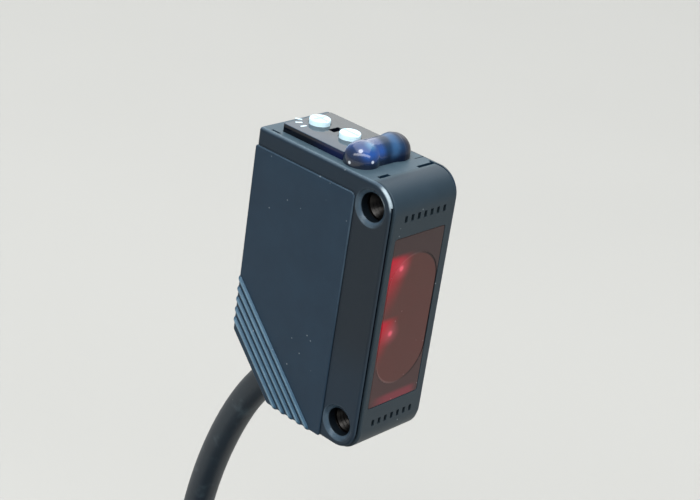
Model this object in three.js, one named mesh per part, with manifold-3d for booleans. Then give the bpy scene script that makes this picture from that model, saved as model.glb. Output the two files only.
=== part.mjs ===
// Compact rectangular photoelectric sensor with a built-in cable.
// Millimetres, +Z up. The mounting side lies in the plane x = 0 and faces +X, the lens faces -Y,
// and the origin is midway between the two M3 mounting holes.
import * as THREE from "three";
import { mergeVertices } from "three/addons/utils/BufferGeometryUtils.js";
import Module from "manifold-3d";

const wasm = await Module();
wasm.setup();

// ---- driving dimensions ----
const HALF_HEIGHT = 15.5;
const FRONT = -3.0; // front face of the bezel
const BACK = 17.0;
const NEAR = -10.5; // plain side opposite the mounting side
const PANEL_RISE = 0.15; // the side cover stands this far out of that side
const MID_X = -5.4;
const CORNER_RADIUS = 2.8; // front corners
const CORNER_CUT = 6.5; // 45 degree corner at the rear bottom
const EDGE_BEVEL = 0.2;
const WALL = 1.0;
const FIT_GAP = 0.15; // between parts that are assembled without moving
const LIP_SETBACK = 0.25; // the case's side lips stop short of the bezel's face

const HOLE_HEIGHT = 12.7; // M3 holes at z = +-12.7, a pitch of 25.4
const HOLE_RADIUS = 1.6;
const INSERT_RADIUS = 1.7;
const INSERT_BORE_RADIUS = 1.25; // M3 thread, minor diameter
const INSERT_START = -9.2; // the insert begins this deep and ends at the mounting side
const HOLE_LEAD_IN = [0.45, 0.3]; // radial width and depth of the cone at the hole's mouth

const BEZEL_X = [-10.0, -0.5];
const BEZEL_THICKNESS = 0.5;
const BEZEL_RETURN = 0.45; // the bezel wraps round the corners to this y
const WINDOW_X = [-9.3, -1.5];
const WINDOW_Z = [-9.95, 10.0];
const NOTCH_COUNT = 7;
const NOTCH_PITCH = 1.0;
const NOTCH_SIZE = [0.45, 0.75]; // width, height
const NOTCH_DEPTH = 0.35;
const NOTCH_MID_X = -5.15;
const NOTCH_Z = [-12.0, 12.1];
const TOP_SLOTS = [[-9.1, -7.45], [-3.05, -0.4]]; // x spans of the slots behind the bezel
const TOP_SLOT_WIDTH = 0.4;
const TOP_SLOT_DEPTH = 0.5;

const LENS_PITCH = 7.7; // emitter lens above, receiver lens below
const LENS_RADIUS = 3.7;

const COVER_TOP = 13.5;
const COVER_FRONT = 2.2;
const COVER_THICKNESS = 1.0;

const RIB_COUNT = 5;
const RIB_PITCH = 1.28; // along y or z
const FIRST_RIB = 19.5; // y - z on the middle line of the first rib
const RIB_WIDTH = 0.5;
const RIB_RISE = 0.2;

const DOME_Y = 4.42;
const CAP_X = [-9.05, -1.75]; // indicator cap on the top
const CAP_Y = [DOME_Y, 14.85];
const CAP_Z = [15.15, 16.4];
const DOME_HALF_PITCH = 2.39;
const DOME_RADIUS = 1.93;
const DOME_WAIST = 1.75;
const DOME_CENTRE_Z = 16.0;

const ADJUSTER_Y = 13.0;
const SELECTOR_Y = 8.5;
const KNOB_RADIUS = 1.18;
const KNOB_TOP = 17.0;
const STEM_RADIUS = 0.7;
const KNOB_FOOT = 12.95; // lower end of the stem, inside the control's body
const KNOB_STEP = 15.35; // where the stem widens into the head

const CABLE_RADIUS = 1.85;
const CABLE_EXIT = new THREE.Vector3(MID_X, 12.9, -13.1); // on the cut corner
const CABLE_AXIS = new THREE.Vector3(0, Math.SQRT1_2, -Math.SQRT1_2);
const BUSH_RADIUS = 2.6;
const CORE_RADIUS = 0.55;

const FLOOR = -67.4;
const COIL_CENTRE = [-32.15, -6.8];
const COIL_MEAN_RADIUS = 21.2;
const COIL_LAYERS = 4;
const COIL_BASE = -66.7;
const TIE_THICKNESS = 0.4;
const TIE_WIDTH = 3.0;
const TIE_GAP = 0.3; // round the coil

const BOARD_X = [-9.1, -1.4];
const BOARD_Y = [8.6, 9.4];
const TOP_BOARD_Z = [11.3, 12.1];
const LEG_PITCH = 1.2; // of the emitter and the receiver
const LEG_WIDTH = 0.4;

// ---- finishes ----
function finish(colour, roughness, metalness = 0) {
  return new THREE.MeshStandardMaterial({ color: colour, roughness, metalness });
}
const CASE_PLASTIC = finish(0x2c3842, 0.55);
const BEZEL_PLASTIC = finish(0x3a3d40, 0.6);
const RED_WINDOW = finish(0x4a1c1c, 0.15);
const LENS_RED = finish(0x8a1f22, 0.1);
const SMOKE_CAP = finish(0x1c2436, 0.12);
const WHITE_PLASTIC = finish(0xe8e8e4, 0.45);
const BLACK_PLASTIC = finish(0x141414, 0.7);
const BOARD_GREEN = finish(0x1f5a38, 0.5);
const CHIP_BLACK = finish(0x1a1a1c, 0.6);
const TINNED_STEEL = finish(0xb9bcc0, 0.35, 1);
const BRASS = finish(0xb08d4a, 0.35, 1);
const RUBBER = finish(0x18191b, 0.85);
const CABLE_PVC = finish(0x3b3f42, 0.55);
const LEAD_BROWN = finish(0x5b3218, 0.5);
const LEAD_BLUE = finish(0x1b4fa8, 0.5);
const LEAD_BLACK = finish(0x101010, 0.5);
const CLEAR_GREEN = finish(0x3f9a58, 0.2);
const CLEAR_ORANGE = finish(0xd9782a, 0.2);
const EMITTER_RED = finish(0xc0282c, 0.15);
const TAN_CERAMIC = finish(0xb79a6a, 0.6);

// ---- solids ----
function toSolid(geometry) {
  const bare = geometry.clone();
  bare.deleteAttribute("normal");
  bare.deleteAttribute("uv");
  const welded = mergeVertices(bare);
  const index = welded.index.array;
  const kept = [];
  for (let i = 0; i < index.length; i += 3) {
    const [a, b, c] = [index[i], index[i + 1], index[i + 2]];
    if (a !== b && b !== c && c !== a) kept.push(a, b, c);
  }
  return new wasm.Manifold(
    new wasm.Mesh({
      numProp: 3,
      vertProperties: new Float32Array(welded.attributes.position.array),
      triVerts: new Uint32Array(kept),
    }),
  );
}

function toGeometry(solid) {
  const mesh = solid.getMesh();
  const geometry = new THREE.BufferGeometry();
  const places = new Float32Array(mesh.vertProperties);
  geometry.setAttribute("position", new THREE.BufferAttribute(places, 3));
  geometry.setIndex(new THREE.BufferAttribute(new Uint32Array(mesh.triVerts), 1));
  geometry.computeVertexNormals();
  return geometry;
}

function cut(solid, ...tools) {
  return tools.reduce((left, tool) => left.subtract(tool), solid);
}

function join(solid, ...others) {
  return others.reduce((whole, other) => whole.add(other), solid);
}

function box(xs, ys, zs) {
  const geometry = new THREE.BoxGeometry(xs[1] - xs[0], ys[1] - ys[0], zs[1] - zs[0]);
  geometry.translate((xs[0] + xs[1]) / 2, (ys[0] + ys[1]) / 2, (zs[0] + zs[1]) / 2);
  return toSolid(geometry);
}

function centredBox(centre, size) {
  return box(
    [centre[0] - size[0] / 2, centre[0] + size[0] / 2],
    [centre[1] - size[1] / 2, centre[1] + size[1] / 2],
    [centre[2] - size[2] / 2, centre[2] + size[2] / 2],
  );
}

// A turned solid: outline points are [radius, distance along axis], listed in the axis's direction.
function turned(outline, origin, axis, sides = 24) {
  const points = outline.map(([radius, along]) => new THREE.Vector2(radius, along));
  const geometry = new THREE.LatheGeometry(points, sides);
  const turn = new THREE.Quaternion().setFromUnitVectors(new THREE.Vector3(0, 1, 0), axis);
  geometry.applyQuaternion(turn);
  geometry.translate(origin.x, origin.y, origin.z);
  return toSolid(geometry);
}

function rod(radius, from, to, origin, axis, sides = 24) {
  return turned([[0, from], [radius, from], [radius, to], [0, to]], origin, axis, sides);
}

function sleeve(inner, outer, from, to, origin, axis, sides = 24) {
  const outline = [[inner, from], [outer, from], [outer, to], [inner, to], [inner, from]];
  return turned(outline, origin, axis, sides);
}

const X_AXIS = new THREE.Vector3(1, 0, 0);
const Y_AXIS = new THREE.Vector3(0, 1, 0);
const Z_AXIS = new THREE.Vector3(0, 0, 1);

// A shape drawn in (y, z), filled from x0 to x1.
function sideways(shape, x0, x1, bevel = 0, curveSegments = 8) {
  const geometry = new THREE.ExtrudeGeometry(shape, {
    depth: x1 - x0 - 2 * bevel,
    bevelEnabled: bevel > 0,
    bevelThickness: bevel,
    bevelSize: bevel,
    bevelOffset: -bevel,
    bevelSegments: 2,
    curveSegments,
  });
  geometry.applyMatrix4(new THREE.Matrix4().makeBasis(Y_AXIS, Z_AXIS, X_AXIS));
  geometry.translate(x0 + bevel, 0, 0);
  return toSolid(geometry);
}

// A shape drawn in (x, z), filled from y0 to y1.
function frontways(shape, y0, y1, curveSegments = 10) {
  const geometry = new THREE.ExtrudeGeometry(shape, {
    depth: y1 - y0,
    bevelEnabled: false,
    curveSegments,
  });
  const back = Y_AXIS.clone().negate();
  geometry.applyMatrix4(new THREE.Matrix4().makeBasis(X_AXIS, Z_AXIS, back));
  geometry.translate(0, y1, 0);
  return toSolid(geometry);
}

// A round wire or tube along a smooth curve through the points.
function tube(points, radius, sides, steps) {
  const section = new THREE.Shape();
  section.absarc(0, 0, radius, 0, 2 * Math.PI, false);
  const path = new THREE.CatmullRomCurve3(points.map((p) => new THREE.Vector3(...p)));
  const geometry = new THREE.ExtrudeGeometry(section, {
    steps,
    extrudePath: path,
    curveSegments: sides,
  });
  return toSolid(geometry);
}

// ---- outlines in (y, z) ----
// The housing's side outline, drawn in by inset, with its front at the given y.
function sideOutline(inset, front) {
  const top = HALF_HEIGHT - inset;
  const back = BACK - inset;
  const radius = CORNER_RADIUS - inset;
  const centreY = front + radius;
  const cutLine = BACK + HALF_HEIGHT - CORNER_CUT - inset * Math.SQRT2; // y - z along the cut corner
  const shape = new THREE.Shape();
  shape.moveTo(back, top);
  shape.lineTo(centreY, top);
  shape.absarc(centreY, top - radius, radius, Math.PI / 2, Math.PI, false);
  shape.lineTo(front, -top + radius);
  shape.absarc(centreY, -top + radius, radius, Math.PI, 1.5 * Math.PI, false);
  shape.lineTo(cutLine - top, -top);
  shape.lineTo(back, back - cutLine);
  return shape;
}

function coverOutline(inset) {
  const cutLine = BACK + HALF_HEIGHT - CORNER_CUT - inset * Math.SQRT2;
  const bottom = -HALF_HEIGHT + inset;
  const back = BACK - inset;
  const cornerRadius = 0.6;
  const front = COVER_FRONT + inset;
  const top = COVER_TOP - inset;
  const shape = new THREE.Shape();
  shape.moveTo(back, top);
  shape.lineTo(front + cornerRadius, top);
  shape.absarc(front + cornerRadius, top - cornerRadius, cornerRadius, Math.PI / 2, Math.PI, false);
  shape.lineTo(front, bottom);
  shape.lineTo(cutLine + bottom, bottom);
  shape.lineTo(back, back - cutLine);
  return shape;
}

// Flat-sided oval in (x, z) round the two lens centres.
function lensOval(radius) {
  const half = LENS_PITCH / 2;
  const shape = new THREE.Shape();
  shape.moveTo(MID_X + radius, -half);
  shape.lineTo(MID_X + radius, half);
  shape.absarc(MID_X, half, radius, 0, Math.PI, false);
  shape.lineTo(MID_X - radius, -half);
  shape.absarc(MID_X, -half, radius, Math.PI, 2 * Math.PI, false);
  return shape;
}

// Grip ribs that run round the rear bottom corner, between two x planes.
function gripRibs(x0, x1) {
  const ring = sideways(sideOutline(-RIB_RISE, FRONT), x0, x1);
  const strips = [];
  for (let i = 0; i < RIB_COUNT; i += 1) {
    const middle = FIRST_RIB + i * RIB_PITCH; // y - z
    const half = RIB_WIDTH * Math.SQRT1_2;
    const shape = new THREE.Shape();
    const [lowZ, highZ] = [-HALF_HEIGHT - 1, HALF_HEIGHT];
    shape.moveTo(lowZ + middle - half, lowZ);
    shape.lineTo(lowZ + middle + half, lowZ);
    shape.lineTo(highZ + middle + half, highZ);
    shape.lineTo(highZ + middle - half, highZ);
    strips.push(ring.intersect(sideways(shape, x0 - 1, x1 + 1)));
  }
  return strips;
}

// ---- housing ----
function caseBody() {
  const shell = sideways(sideOutline(0, FRONT + LIP_SETBACK), NEAR, 0, EDGE_BEVEL);
  const coverRecess = box(
    [NEAR - 1, NEAR + COVER_THICKNESS],
    [COVER_FRONT - FIT_GAP, BACK + 2],
    [-20, COVER_TOP + FIT_GAP],
  );
  const pocketX = [BEZEL_X[0] - 0.25, BEZEL_X[1] + 0.25];
  const pocketDepth = BEZEL_THICKNESS + 0.25;
  const core = sideways(sideOutline(pocketDepth, FRONT + pocketDepth), pocketX[0] - 1, pocketX[1] + 1);
  const bezelPocket = box(pocketX, [FRONT - 2, BEZEL_RETURN + FIT_GAP], [-20, 20]).subtract(core);
  const room = sideways(sideOutline(WALL + 0.1, COVER_FRONT + 0.8), NEAR - 1, -WALL);
  const belowTopWall = room.intersect(box([-20, 0], [-5, 20], [-20, 14]));
  const opticsRoom = box([-9.35, -WALL], [FRONT - 1, 4], [-9.6, 9.6]);
  const capPocket = box(
    [CAP_X[0] - FIT_GAP, CAP_X[1] + FIT_GAP],
    [CAP_Y[0] - FIT_GAP, CAP_Y[1] + FIT_GAP],
    [CAP_Z[0] - FIT_GAP, 20],
  );
  const knobHoles = [ADJUSTER_Y, SELECTOR_Y].map((y) => rod(1.4, 13, 17, onTop(MID_X, y), Z_AXIS));
  const lightHoles = [-1, 1].map((side) => rod(0.95, 13, 17, lobeCentre(side), Z_AXIS));
  const slotY = [BEZEL_RETURN, BEZEL_RETURN + TOP_SLOT_WIDTH];
  const slots = TOP_SLOTS.map((span) => box(span, slotY, [HALF_HEIGHT - TOP_SLOT_DEPTH, 17]));
  const bores = [-HOLE_HEIGHT, HOLE_HEIGHT].map((z) => boreTool(z));
  const cableHole = rod(BUSH_RADIUS + FIT_GAP, -3, 2, CABLE_EXIT, CABLE_AXIS);
  const ribs = gripRibs(NEAR + COVER_THICKNESS + 0.01, 0);
  const hollow = cut(shell, coverRecess, bezelPocket, belowTopWall, opticsRoom, capPocket);
  const withRibs = join(hollow, ...ribs.map((rib) => rib.subtract(belowTopWall)));
  return toGeometry(cut(withRibs, ...knobHoles, ...lightHoles, ...slots, ...bores, cableHole));
}

// The foot of a vertical axis.
function onTop(x, y) {
  return new THREE.Vector3(x, y, 0);
}

function lobeCentre(side) {
  return onTop(MID_X + side * DOME_HALF_PITCH, DOME_Y);
}

// The M3 hole: a clearance hole from the near side, a seat for the insert, and a small lead-in.
function boreTool(z) {
  const centre = new THREE.Vector3(0, 0, z);
  const [leadWidth, leadDepth] = HOLE_LEAD_IN;
  const near = NEAR - 0.01;
  const seat = INSERT_RADIUS + 0.1;
  return turned(
    [
      [0, near],
      [HOLE_RADIUS + leadWidth, near],
      [HOLE_RADIUS, near + leadDepth],
      [HOLE_RADIUS, INSERT_START],
      [seat, INSERT_START],
      [seat, 1],
      [0, 1],
    ],
    centre,
    X_AXIS,
  );
}

function sideCover() {
  const [x0, x1] = [NEAR - PANEL_RISE, NEAR + COVER_THICKNESS - FIT_GAP];
  const plate = sideways(coverOutline(0), x0, x1, 0.12);
  const panelRibs = gripRibs(x0 - RIB_RISE, x1).map((rib) =>
    rib.intersect(box([-20, x1], [COVER_FRONT + 1, 20], [-20, COVER_TOP])),
  );
  return toGeometry(join(plate, ...panelRibs));
}

function frontBezel() {
  const outer = sideways(sideOutline(0, FRONT), ...BEZEL_X);
  const innerOutline = sideOutline(BEZEL_THICKNESS, FRONT + BEZEL_THICKNESS);
  const inner = sideways(innerOutline, BEZEL_X[0] - 1, BEZEL_X[1] + 1);
  const behind = box([-20, 5], [BEZEL_RETURN, 25], [-20, 20]);
  const opening = box(
    [WINDOW_X[0] - FIT_GAP, WINDOW_X[1] + FIT_GAP],
    [FRONT - 1, 0],
    [WINDOW_Z[0] - FIT_GAP, WINDOW_Z[1] + FIT_GAP],
  );
  const notches = [];
  for (const z of NOTCH_Z) {
    for (let i = 0; i < NOTCH_COUNT; i += 1) {
      const x = NOTCH_MID_X + (i - (NOTCH_COUNT - 1) / 2) * NOTCH_PITCH;
      notches.push(centredBox([x, FRONT, z], [NOTCH_SIZE[0], 2 * NOTCH_DEPTH, NOTCH_SIZE[1]]));
    }
  }
  return toGeometry(cut(outer, inner, behind, opening, ...notches));
}

function threadedInsert(z) {
  const end = -0.05;
  const collar = 0.25;
  return toGeometry(
    turned(
      [
        [INSERT_BORE_RADIUS, INSERT_START + collar],
        [INSERT_BORE_RADIUS + collar, INSERT_START + 0.05],
        [INSERT_RADIUS, INSERT_START + 0.05],
        [INSERT_RADIUS, end],
        [INSERT_BORE_RADIUS + collar, end],
        [INSERT_BORE_RADIUS, end - collar],
        [INSERT_BORE_RADIUS, INSERT_START + collar],
      ],
      new THREE.Vector3(0, 0, z),
      X_AXIS,
    ),
  );
}

// ---- optics ----
function frontWindow() {
  return toGeometry(box(WINDOW_X, [FRONT + 0.03, FRONT + 0.75], WINDOW_Z));
}

function twinLens() {
  const plate = frontways(lensOval(LENS_RADIUS), -2.1, -1.5);
  const sag = 0.95;
  const rim = 3.2;
  const sphere = (rim * rim + sag * sag) / (2 * sag);
  const caps = [-1, 1].map((side) => {
    const outline = [[0, -0.1], [rim, -0.1]];
    const steps = 6;
    for (let i = 0; i <= steps; i += 1) {
      const radius = rim * (1 - i / steps);
      outline.push([radius, Math.sqrt(sphere * sphere - radius * radius) - (sphere - sag)]);
    }
    return turned(outline, new THREE.Vector3(MID_X, -1.5, (side * LENS_PITCH) / 2), Y_AXIS, 28);
  });
  return toGeometry(join(plate, ...caps));
}

function lensHolder() {
  const [front, rear] = [-1.35, 6.0];
  const block = frontways(lensOval(LENS_RADIUS + 0.1), front, rear);
  const tunnels = [-1, 1].map((side) =>
    turned(
      [
        [0, front - 1],
        [3.4, front - 1],
        [3.4, front + 0.8],
        [1.45, 4.4],
        [1.45, rear + 1],
        [0, rear + 1],
      ],
      new THREE.Vector3(MID_X, 0, (side * LENS_PITCH) / 2),
      Y_AXIS,
    ),
  );
  return toGeometry(cut(block, ...tunnels));
}

function emitterLed() {
  const centre = new THREE.Vector3(MID_X, 0, LENS_PITCH / 2);
  const dome = [[0, 3.9], [0.6, 4.05], [1.0, 4.5], [1.15, 5.0]];
  const base = [[1.15, 6.4], [1.35, 6.4], [1.35, 6.8], [0, 6.8]];
  const body = turned([...dome, ...base], centre, Y_AXIS);
  return toGeometry(join(body, ...legs(6.7, LENS_PITCH / 2)));
}

// The two legs that carry the emitter or the receiver on the main board.
function legs(from, z) {
  const length = BOARD_Y[0] - 0.15 - from;
  return [-0.5, 0.5].map((side) =>
    centredBox([MID_X + side * LEG_PITCH, from + length / 2, z], [LEG_WIDTH, length, LEG_WIDTH]),
  );
}

function receiverDiode() {
  const z = -LENS_PITCH / 2;
  const body = centredBox([MID_X, 5.3, z], [1.9, 1.2, 1.9]);
  const dome = rod(0.7, 4.2, 4.8, new THREE.Vector3(MID_X, 0, z), Y_AXIS, 16);
  return toGeometry(join(body, dome, ...legs(5.8, z)));
}

function shieldCan() {
  const z = -LENS_PITCH / 2;
  const outer = centredBox([MID_X, 7.35, z], [5.6, 1.9, 5.2]);
  const inner = centredBox([MID_X, 7.65, z], [5.1, 1.9, 4.7]);
  const legHole = centredBox([MID_X, 6.5, z], [2.4, 1.5, 1.2]);
  return toGeometry(cut(outer, inner, legHole));
}

// ---- electronics ----
function mainBoard() {
  const board = box(BOARD_X, BOARD_Y, [-10.6, 10.9]);
  const pads = [-7.2, -5.4, -3.6].map((x) => rod(0.3, 8, 10, new THREE.Vector3(x, 0, -9.4), Y_AXIS, 12));
  return toGeometry(cut(board, ...pads));
}

function indicatorBoard() {
  return toGeometry(box(BOARD_X, [3.4, 15.4], TOP_BOARD_Z));
}

function boardLink() {
  const block = box([-7.6, -3.2], [9.6, 10.8], [8.4, 11.1]);
  const pins = [0, 1, 2, 3].map((i) => {
    const x = -7.05 + i * 1.1;
    return box([x - 0.15, x + 0.15], [10.0, 10.4], [8.0, 9.0]);
  });
  return toGeometry(join(block, ...pins));
}

// A chip on the back of the main board, with a row of legs on both sides.
function chip(z, width, height, legs) {
  const rise = 1.1;
  const y0 = BOARD_Y[1] + 0.2;
  const body = centredBox([MID_X, y0 + rise / 2, z], [width, rise, height]);
  const rows = [];
  for (const side of [-1, 1]) {
    for (let i = 0; i < legs; i += 1) {
      const legZ = z + (i - (legs - 1) / 2) * (height / legs);
      const x = MID_X + side * (width / 2 + 0.3);
      rows.push(centredBox([x, y0 + 0.15, legZ], [0.8, 0.3, 0.3]));
    }
  }
  return toGeometry(join(body, ...rows));
}

function inputCapacitor() {
  return toGeometry(centredBox([-7.9, BOARD_Y[1] + 0.95, -4.4], [1.6, 1.5, 3.0]));
}

function surgeDiode() {
  const z = -4.4;
  const body = centredBox([-3.0, BOARD_Y[1] + 0.75, z], [1.6, 1.1, 2.4]);
  const tabY = BOARD_Y[1] + 0.35;
  const tabs = [-1, 1].map((side) => centredBox([-3.0, tabY, z + side * 1.4], [1.0, 0.3, 0.6]));
  return toGeometry(join(body, ...tabs));
}

function controlBody(y) {
  const base = box([MID_X - 1.9, MID_X + 1.9], [y - 1.9, y + 1.9], [TOP_BOARD_Z[1] + 0.15, 13.8]);
  const well = rod(0.85, 12.8, 15, onTop(MID_X, y), Z_AXIS, 16);
  return toGeometry(cut(base, well));
}

function indicatorLed(side) {
  return toGeometry(centredBox([MID_X + side * DOME_HALF_PITCH, DOME_Y, 12.6], [1.2, 1.6, 0.7]));
}

function lightGuide(side) {
  const outline = [[0, 13.1], [0.8, 13.1], [0.8, 15.9], [0.5, 16.2], [0, 16.25]];
  return toGeometry(turned(outline, lobeCentre(side), Z_AXIS, 20));
}

// ---- top controls ----
// The flat part lies behind the two-lobed dome, whose short upright skirt stands on the case.
function indicatorCap() {
  const plate = box(CAP_X, CAP_Y, CAP_Z);
  const skirtZ = [HALF_HEIGHT + 0.05, DOME_CENTRE_Z];
  const skirts = [-1, 1].map((side) => rod(DOME_RADIUS, ...skirtZ, lobeCentre(side), Z_AXIS, 32));
  const lobeX = [MID_X - DOME_HALF_PITCH, MID_X + DOME_HALF_PITCH];
  const waist = box(lobeX, [DOME_Y - DOME_WAIST, DOME_Y + DOME_WAIST], skirtZ);
  const outline = [];
  const steps = 24;
  const reach = DOME_HALF_PITCH + DOME_RADIUS;
  for (let i = 0; i <= steps; i += 1) {
    const along = -reach * Math.cos((Math.PI * i) / steps);
    outline.push([domeRadius(along), along]);
  }
  const lobes = turned(outline, new THREE.Vector3(MID_X, DOME_Y, DOME_CENTRE_Z), X_AXIS, 32);
  const above = lobes.intersect(box([-20, 5], [0, 10], [DOME_CENTRE_Z, 20]));
  const knobHoles = [ADJUSTER_Y, SELECTOR_Y].map((y) =>
    rod(KNOB_RADIUS + FIT_GAP, 15, 17, onTop(MID_X, y), Z_AXIS, 32),
  );
  const guideWells = [-1, 1].map((side) => rod(0.95, 15, 16.45, lobeCentre(side), Z_AXIS, 20));
  const keyway = box([-6.3, -4.6], [10.5, 11.1], [15.9, 17]);
  const whole = join(plate, above, waist, ...skirts);
  return toGeometry(cut(whole, ...knobHoles, ...guideWells, keyway));
}

// Radius of the two-lobed dome at a distance from its middle.
function domeRadius(along) {
  const inward = Math.abs(along) / DOME_HALF_PITCH;
  if (inward < 1) {
    const blend = 0.5 - 0.5 * Math.cos(Math.PI * inward);
    return DOME_WAIST + (DOME_RADIUS - DOME_WAIST) * blend;
  }
  const past = Math.min(Math.abs(along) - DOME_HALF_PITCH, DOME_RADIUS);
  return Math.sqrt(DOME_RADIUS * DOME_RADIUS - past * past);
}

function knob(slotCount) {
  const bevel = 0.15;
  const body = turned(
    [
      [0, KNOB_FOOT],
      [STEM_RADIUS, KNOB_FOOT],
      [STEM_RADIUS, KNOB_STEP],
      [KNOB_RADIUS, KNOB_STEP],
      [KNOB_RADIUS, KNOB_TOP - bevel],
      [KNOB_RADIUS - bevel, KNOB_TOP],
      [0, KNOB_TOP],
    ],
    onTop(0, 0),
    Z_AXIS,
    32,
  );
  const slot = centredBox([0, 0, KNOB_TOP], [0.4, 1.9, 1.0]);
  const cross = centredBox([0, 0, KNOB_TOP], [1.9, 0.4, 1.0]);
  const pointer = centredBox([0, -KNOB_RADIUS + 0.1, KNOB_TOP], [0.5, 0.5, 0.3]);
  return toGeometry(slotCount > 1 ? cut(body, slot, cross, pointer) : cut(body, slot, pointer));
}

function stemSeal(y) {
  const outline = [];
  const sides = 10;
  for (let i = 0; i <= sides; i += 1) {
    const angle = (2 * Math.PI * i) / sides;
    outline.push([1.05 + 0.27 * Math.cos(angle), 14.5 + 0.27 * Math.sin(angle)]);
  }
  return toGeometry(turned(outline, onTop(MID_X, y), Z_AXIS, 20));
}

// ---- cable entry ----
function cableBush() {
  const bore = CABLE_RADIUS + 0.1;
  return toGeometry(
    turned(
      [
        [bore, -1.9],
        [BUSH_RADIUS, -1.9],
        [BUSH_RADIUS, 0.2],
        [BUSH_RADIUS - 0.2, 0.4],
        [bore, 0.4],
        [bore, -1.9],
      ],
      CABLE_EXIT,
      CABLE_AXIS,
    ),
  );
}

function cableStub() {
  return toGeometry(rod(CABLE_RADIUS, -3.2, 0.1, CABLE_EXIT, CABLE_AXIS));
}

function crimpRing() {
  const [inner, outer] = [CABLE_RADIUS + 0.1, CABLE_RADIUS + 0.4];
  return toGeometry(sleeve(inner, outer, -3.1, -2.2, CABLE_EXIT, CABLE_AXIS));
}

function innerLead(offset, boardZ) {
  const start = CABLE_EXIT.clone().addScaledVector(CABLE_AXIS, -3.5);
  const rise = offset === 0 ? 0.7 : -0.3;
  return toGeometry(
    tube(
      [
        [MID_X + offset * 0.9, start.y + rise, start.z + rise],
        [MID_X + offset * 1.2, start.y + rise * 0.6 + 0.5, start.z + 1.4],
        [MID_X + offset * 1.8, BOARD_Y[1] + 1.1, boardZ - 0.3],
        [MID_X + offset * 1.8, BOARD_Y[1] + 0.35, boardZ],
      ],
      CORE_RADIUS * 0.8,
      8,
      8,
    ),
  );
}

// ---- free cable: hangs from the cut corner, then lies coiled and tied ----
const DROP_ROUTE = [
  [MID_X, 13.4, -13.6],
  [MID_X, 15.7, -16.3],
  [MID_X, 18.2, -20.0],
  [MID_X, 20.2, -24.0],
  [MID_X, 21.8, -28.1],
  [MID_X, 23.1, -32.3],
  [MID_X, 24.1, -36.6],
  [MID_X, 24.8, -40.9],
  [MID_X, 25.1, -45.3],
  [MID_X, 25.0, -49.6],
  [MID_X, 23.9, -53.9],
  [MID_X, 21.7, -57.7],
  [MID_X, 18.7, -60.9],
  [MID_X, 15.0, -63.3],
  [MID_X, 11.6, -64.4],
  [MID_X, 7.7, -64.85],
];

function cableDrop() {
  return toGeometry(tube(DROP_ROUTE, CABLE_RADIUS, 12, 24));
}

const COIL_HALF_WIDTH = 2 * 2 * CABLE_RADIUS;
const COIL_TOP = COIL_BASE + COIL_LAYERS * 2 * CABLE_RADIUS;
const COIL_ORIGIN = new THREE.Vector3(COIL_CENTRE[0], COIL_CENTRE[1], 0);

function cableCoil() {
  const [inner, outer] = [COIL_MEAN_RADIUS - COIL_HALF_WIDTH, COIL_MEAN_RADIUS + COIL_HALF_WIDTH];
  return toGeometry(sleeve(inner, outer, COIL_BASE, COIL_TOP, COIL_ORIGIN, Z_AXIS, 48));
}

const TAIL_ROUTE = [
  [-58.9, 7.7, -53.75],
  [-58.9, 11.0, -54.2],
  [-58.2, 14.6, -55.9],
  [-56.2, 18.2, -58.5],
  [-53.2, 21.4, -61.0],
  [-49.3, 23.8, -63.1],
  [-45.2, 25.0, -64.4],
  [-41.0, 25.4, -64.85],
  [-36.5, 25.4, -64.85],
  [-32.0, 25.4, -64.85],
];

function cableTail() {
  return toGeometry(tube(TAIL_ROUTE, CABLE_RADIUS, 12, 14));
}

// One stripped core at the free end, spread from the others by offset.
function freeLead(offset) {
  const low = COIL_BASE + CORE_RADIUS;
  return toGeometry(
    tube(
      [
        [-31.7, 25.4 + offset * 0.9, -64.85 + (offset === 0 ? 0.7 : -0.4)],
        [-28.5, 25.4 + offset * 1.2, -65.5],
        [-24.5, 25.4 + offset * 1.7, low + 0.1],
        [-19.0, 25.4 + offset * 1.5, low],
        [-12.0, 25.4 + offset * 1.75, low],
      ],
      CORE_RADIUS,
      8,
      10,
    ),
  );
}

function coilTie() {
  const half = COIL_HALF_WIDTH + TIE_GAP;
  const bulge = 0.2; // the ring's edge curves away from the flat band
  const y = COIL_CENTRE[1] - COIL_MEAN_RADIUS;
  const x = [COIL_CENTRE[0] - TIE_WIDTH / 2, COIL_CENTRE[0] + TIE_WIDTH / 2];
  const insideY = [y - half, y + half + bulge];
  const insideZ = [FLOOR + TIE_THICKNESS, COIL_TOP + TIE_GAP];
  const outsideY = [insideY[0] - TIE_THICKNESS, y + half + TIE_THICKNESS + bulge];
  const outer = box(x, outsideY, [FLOOR, insideZ[1] + TIE_THICKNESS]);
  const inner = box([x[0] - 1, x[1] + 1], insideY, insideZ);
  return toGeometry(cut(outer, inner));
}

// ---- assembly ----
const sensor = new THREE.Group();

function place(name, geometry, material, position = [0, 0, 0]) {
  const mesh = new THREE.Mesh(geometry, material);
  mesh.name = name;
  mesh.position.set(...position);
  sensor.add(mesh);
}

place("case_body", caseBody(), CASE_PLASTIC);
place("side_cover", sideCover(), CASE_PLASTIC);
place("front_bezel", frontBezel(), BEZEL_PLASTIC);
place("upper_threaded_insert", threadedInsert(HOLE_HEIGHT), BRASS);
place("lower_threaded_insert", threadedInsert(-HOLE_HEIGHT), BRASS);

place("front_window", frontWindow(), RED_WINDOW);
place("twin_lens", twinLens(), LENS_RED);
place("lens_holder", lensHolder(), BLACK_PLASTIC);
place("emitter_led", emitterLed(), EMITTER_RED);
place("receiver_photodiode", receiverDiode(), CHIP_BLACK);
place("receiver_shield_can", shieldCan(), TINNED_STEEL);

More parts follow.
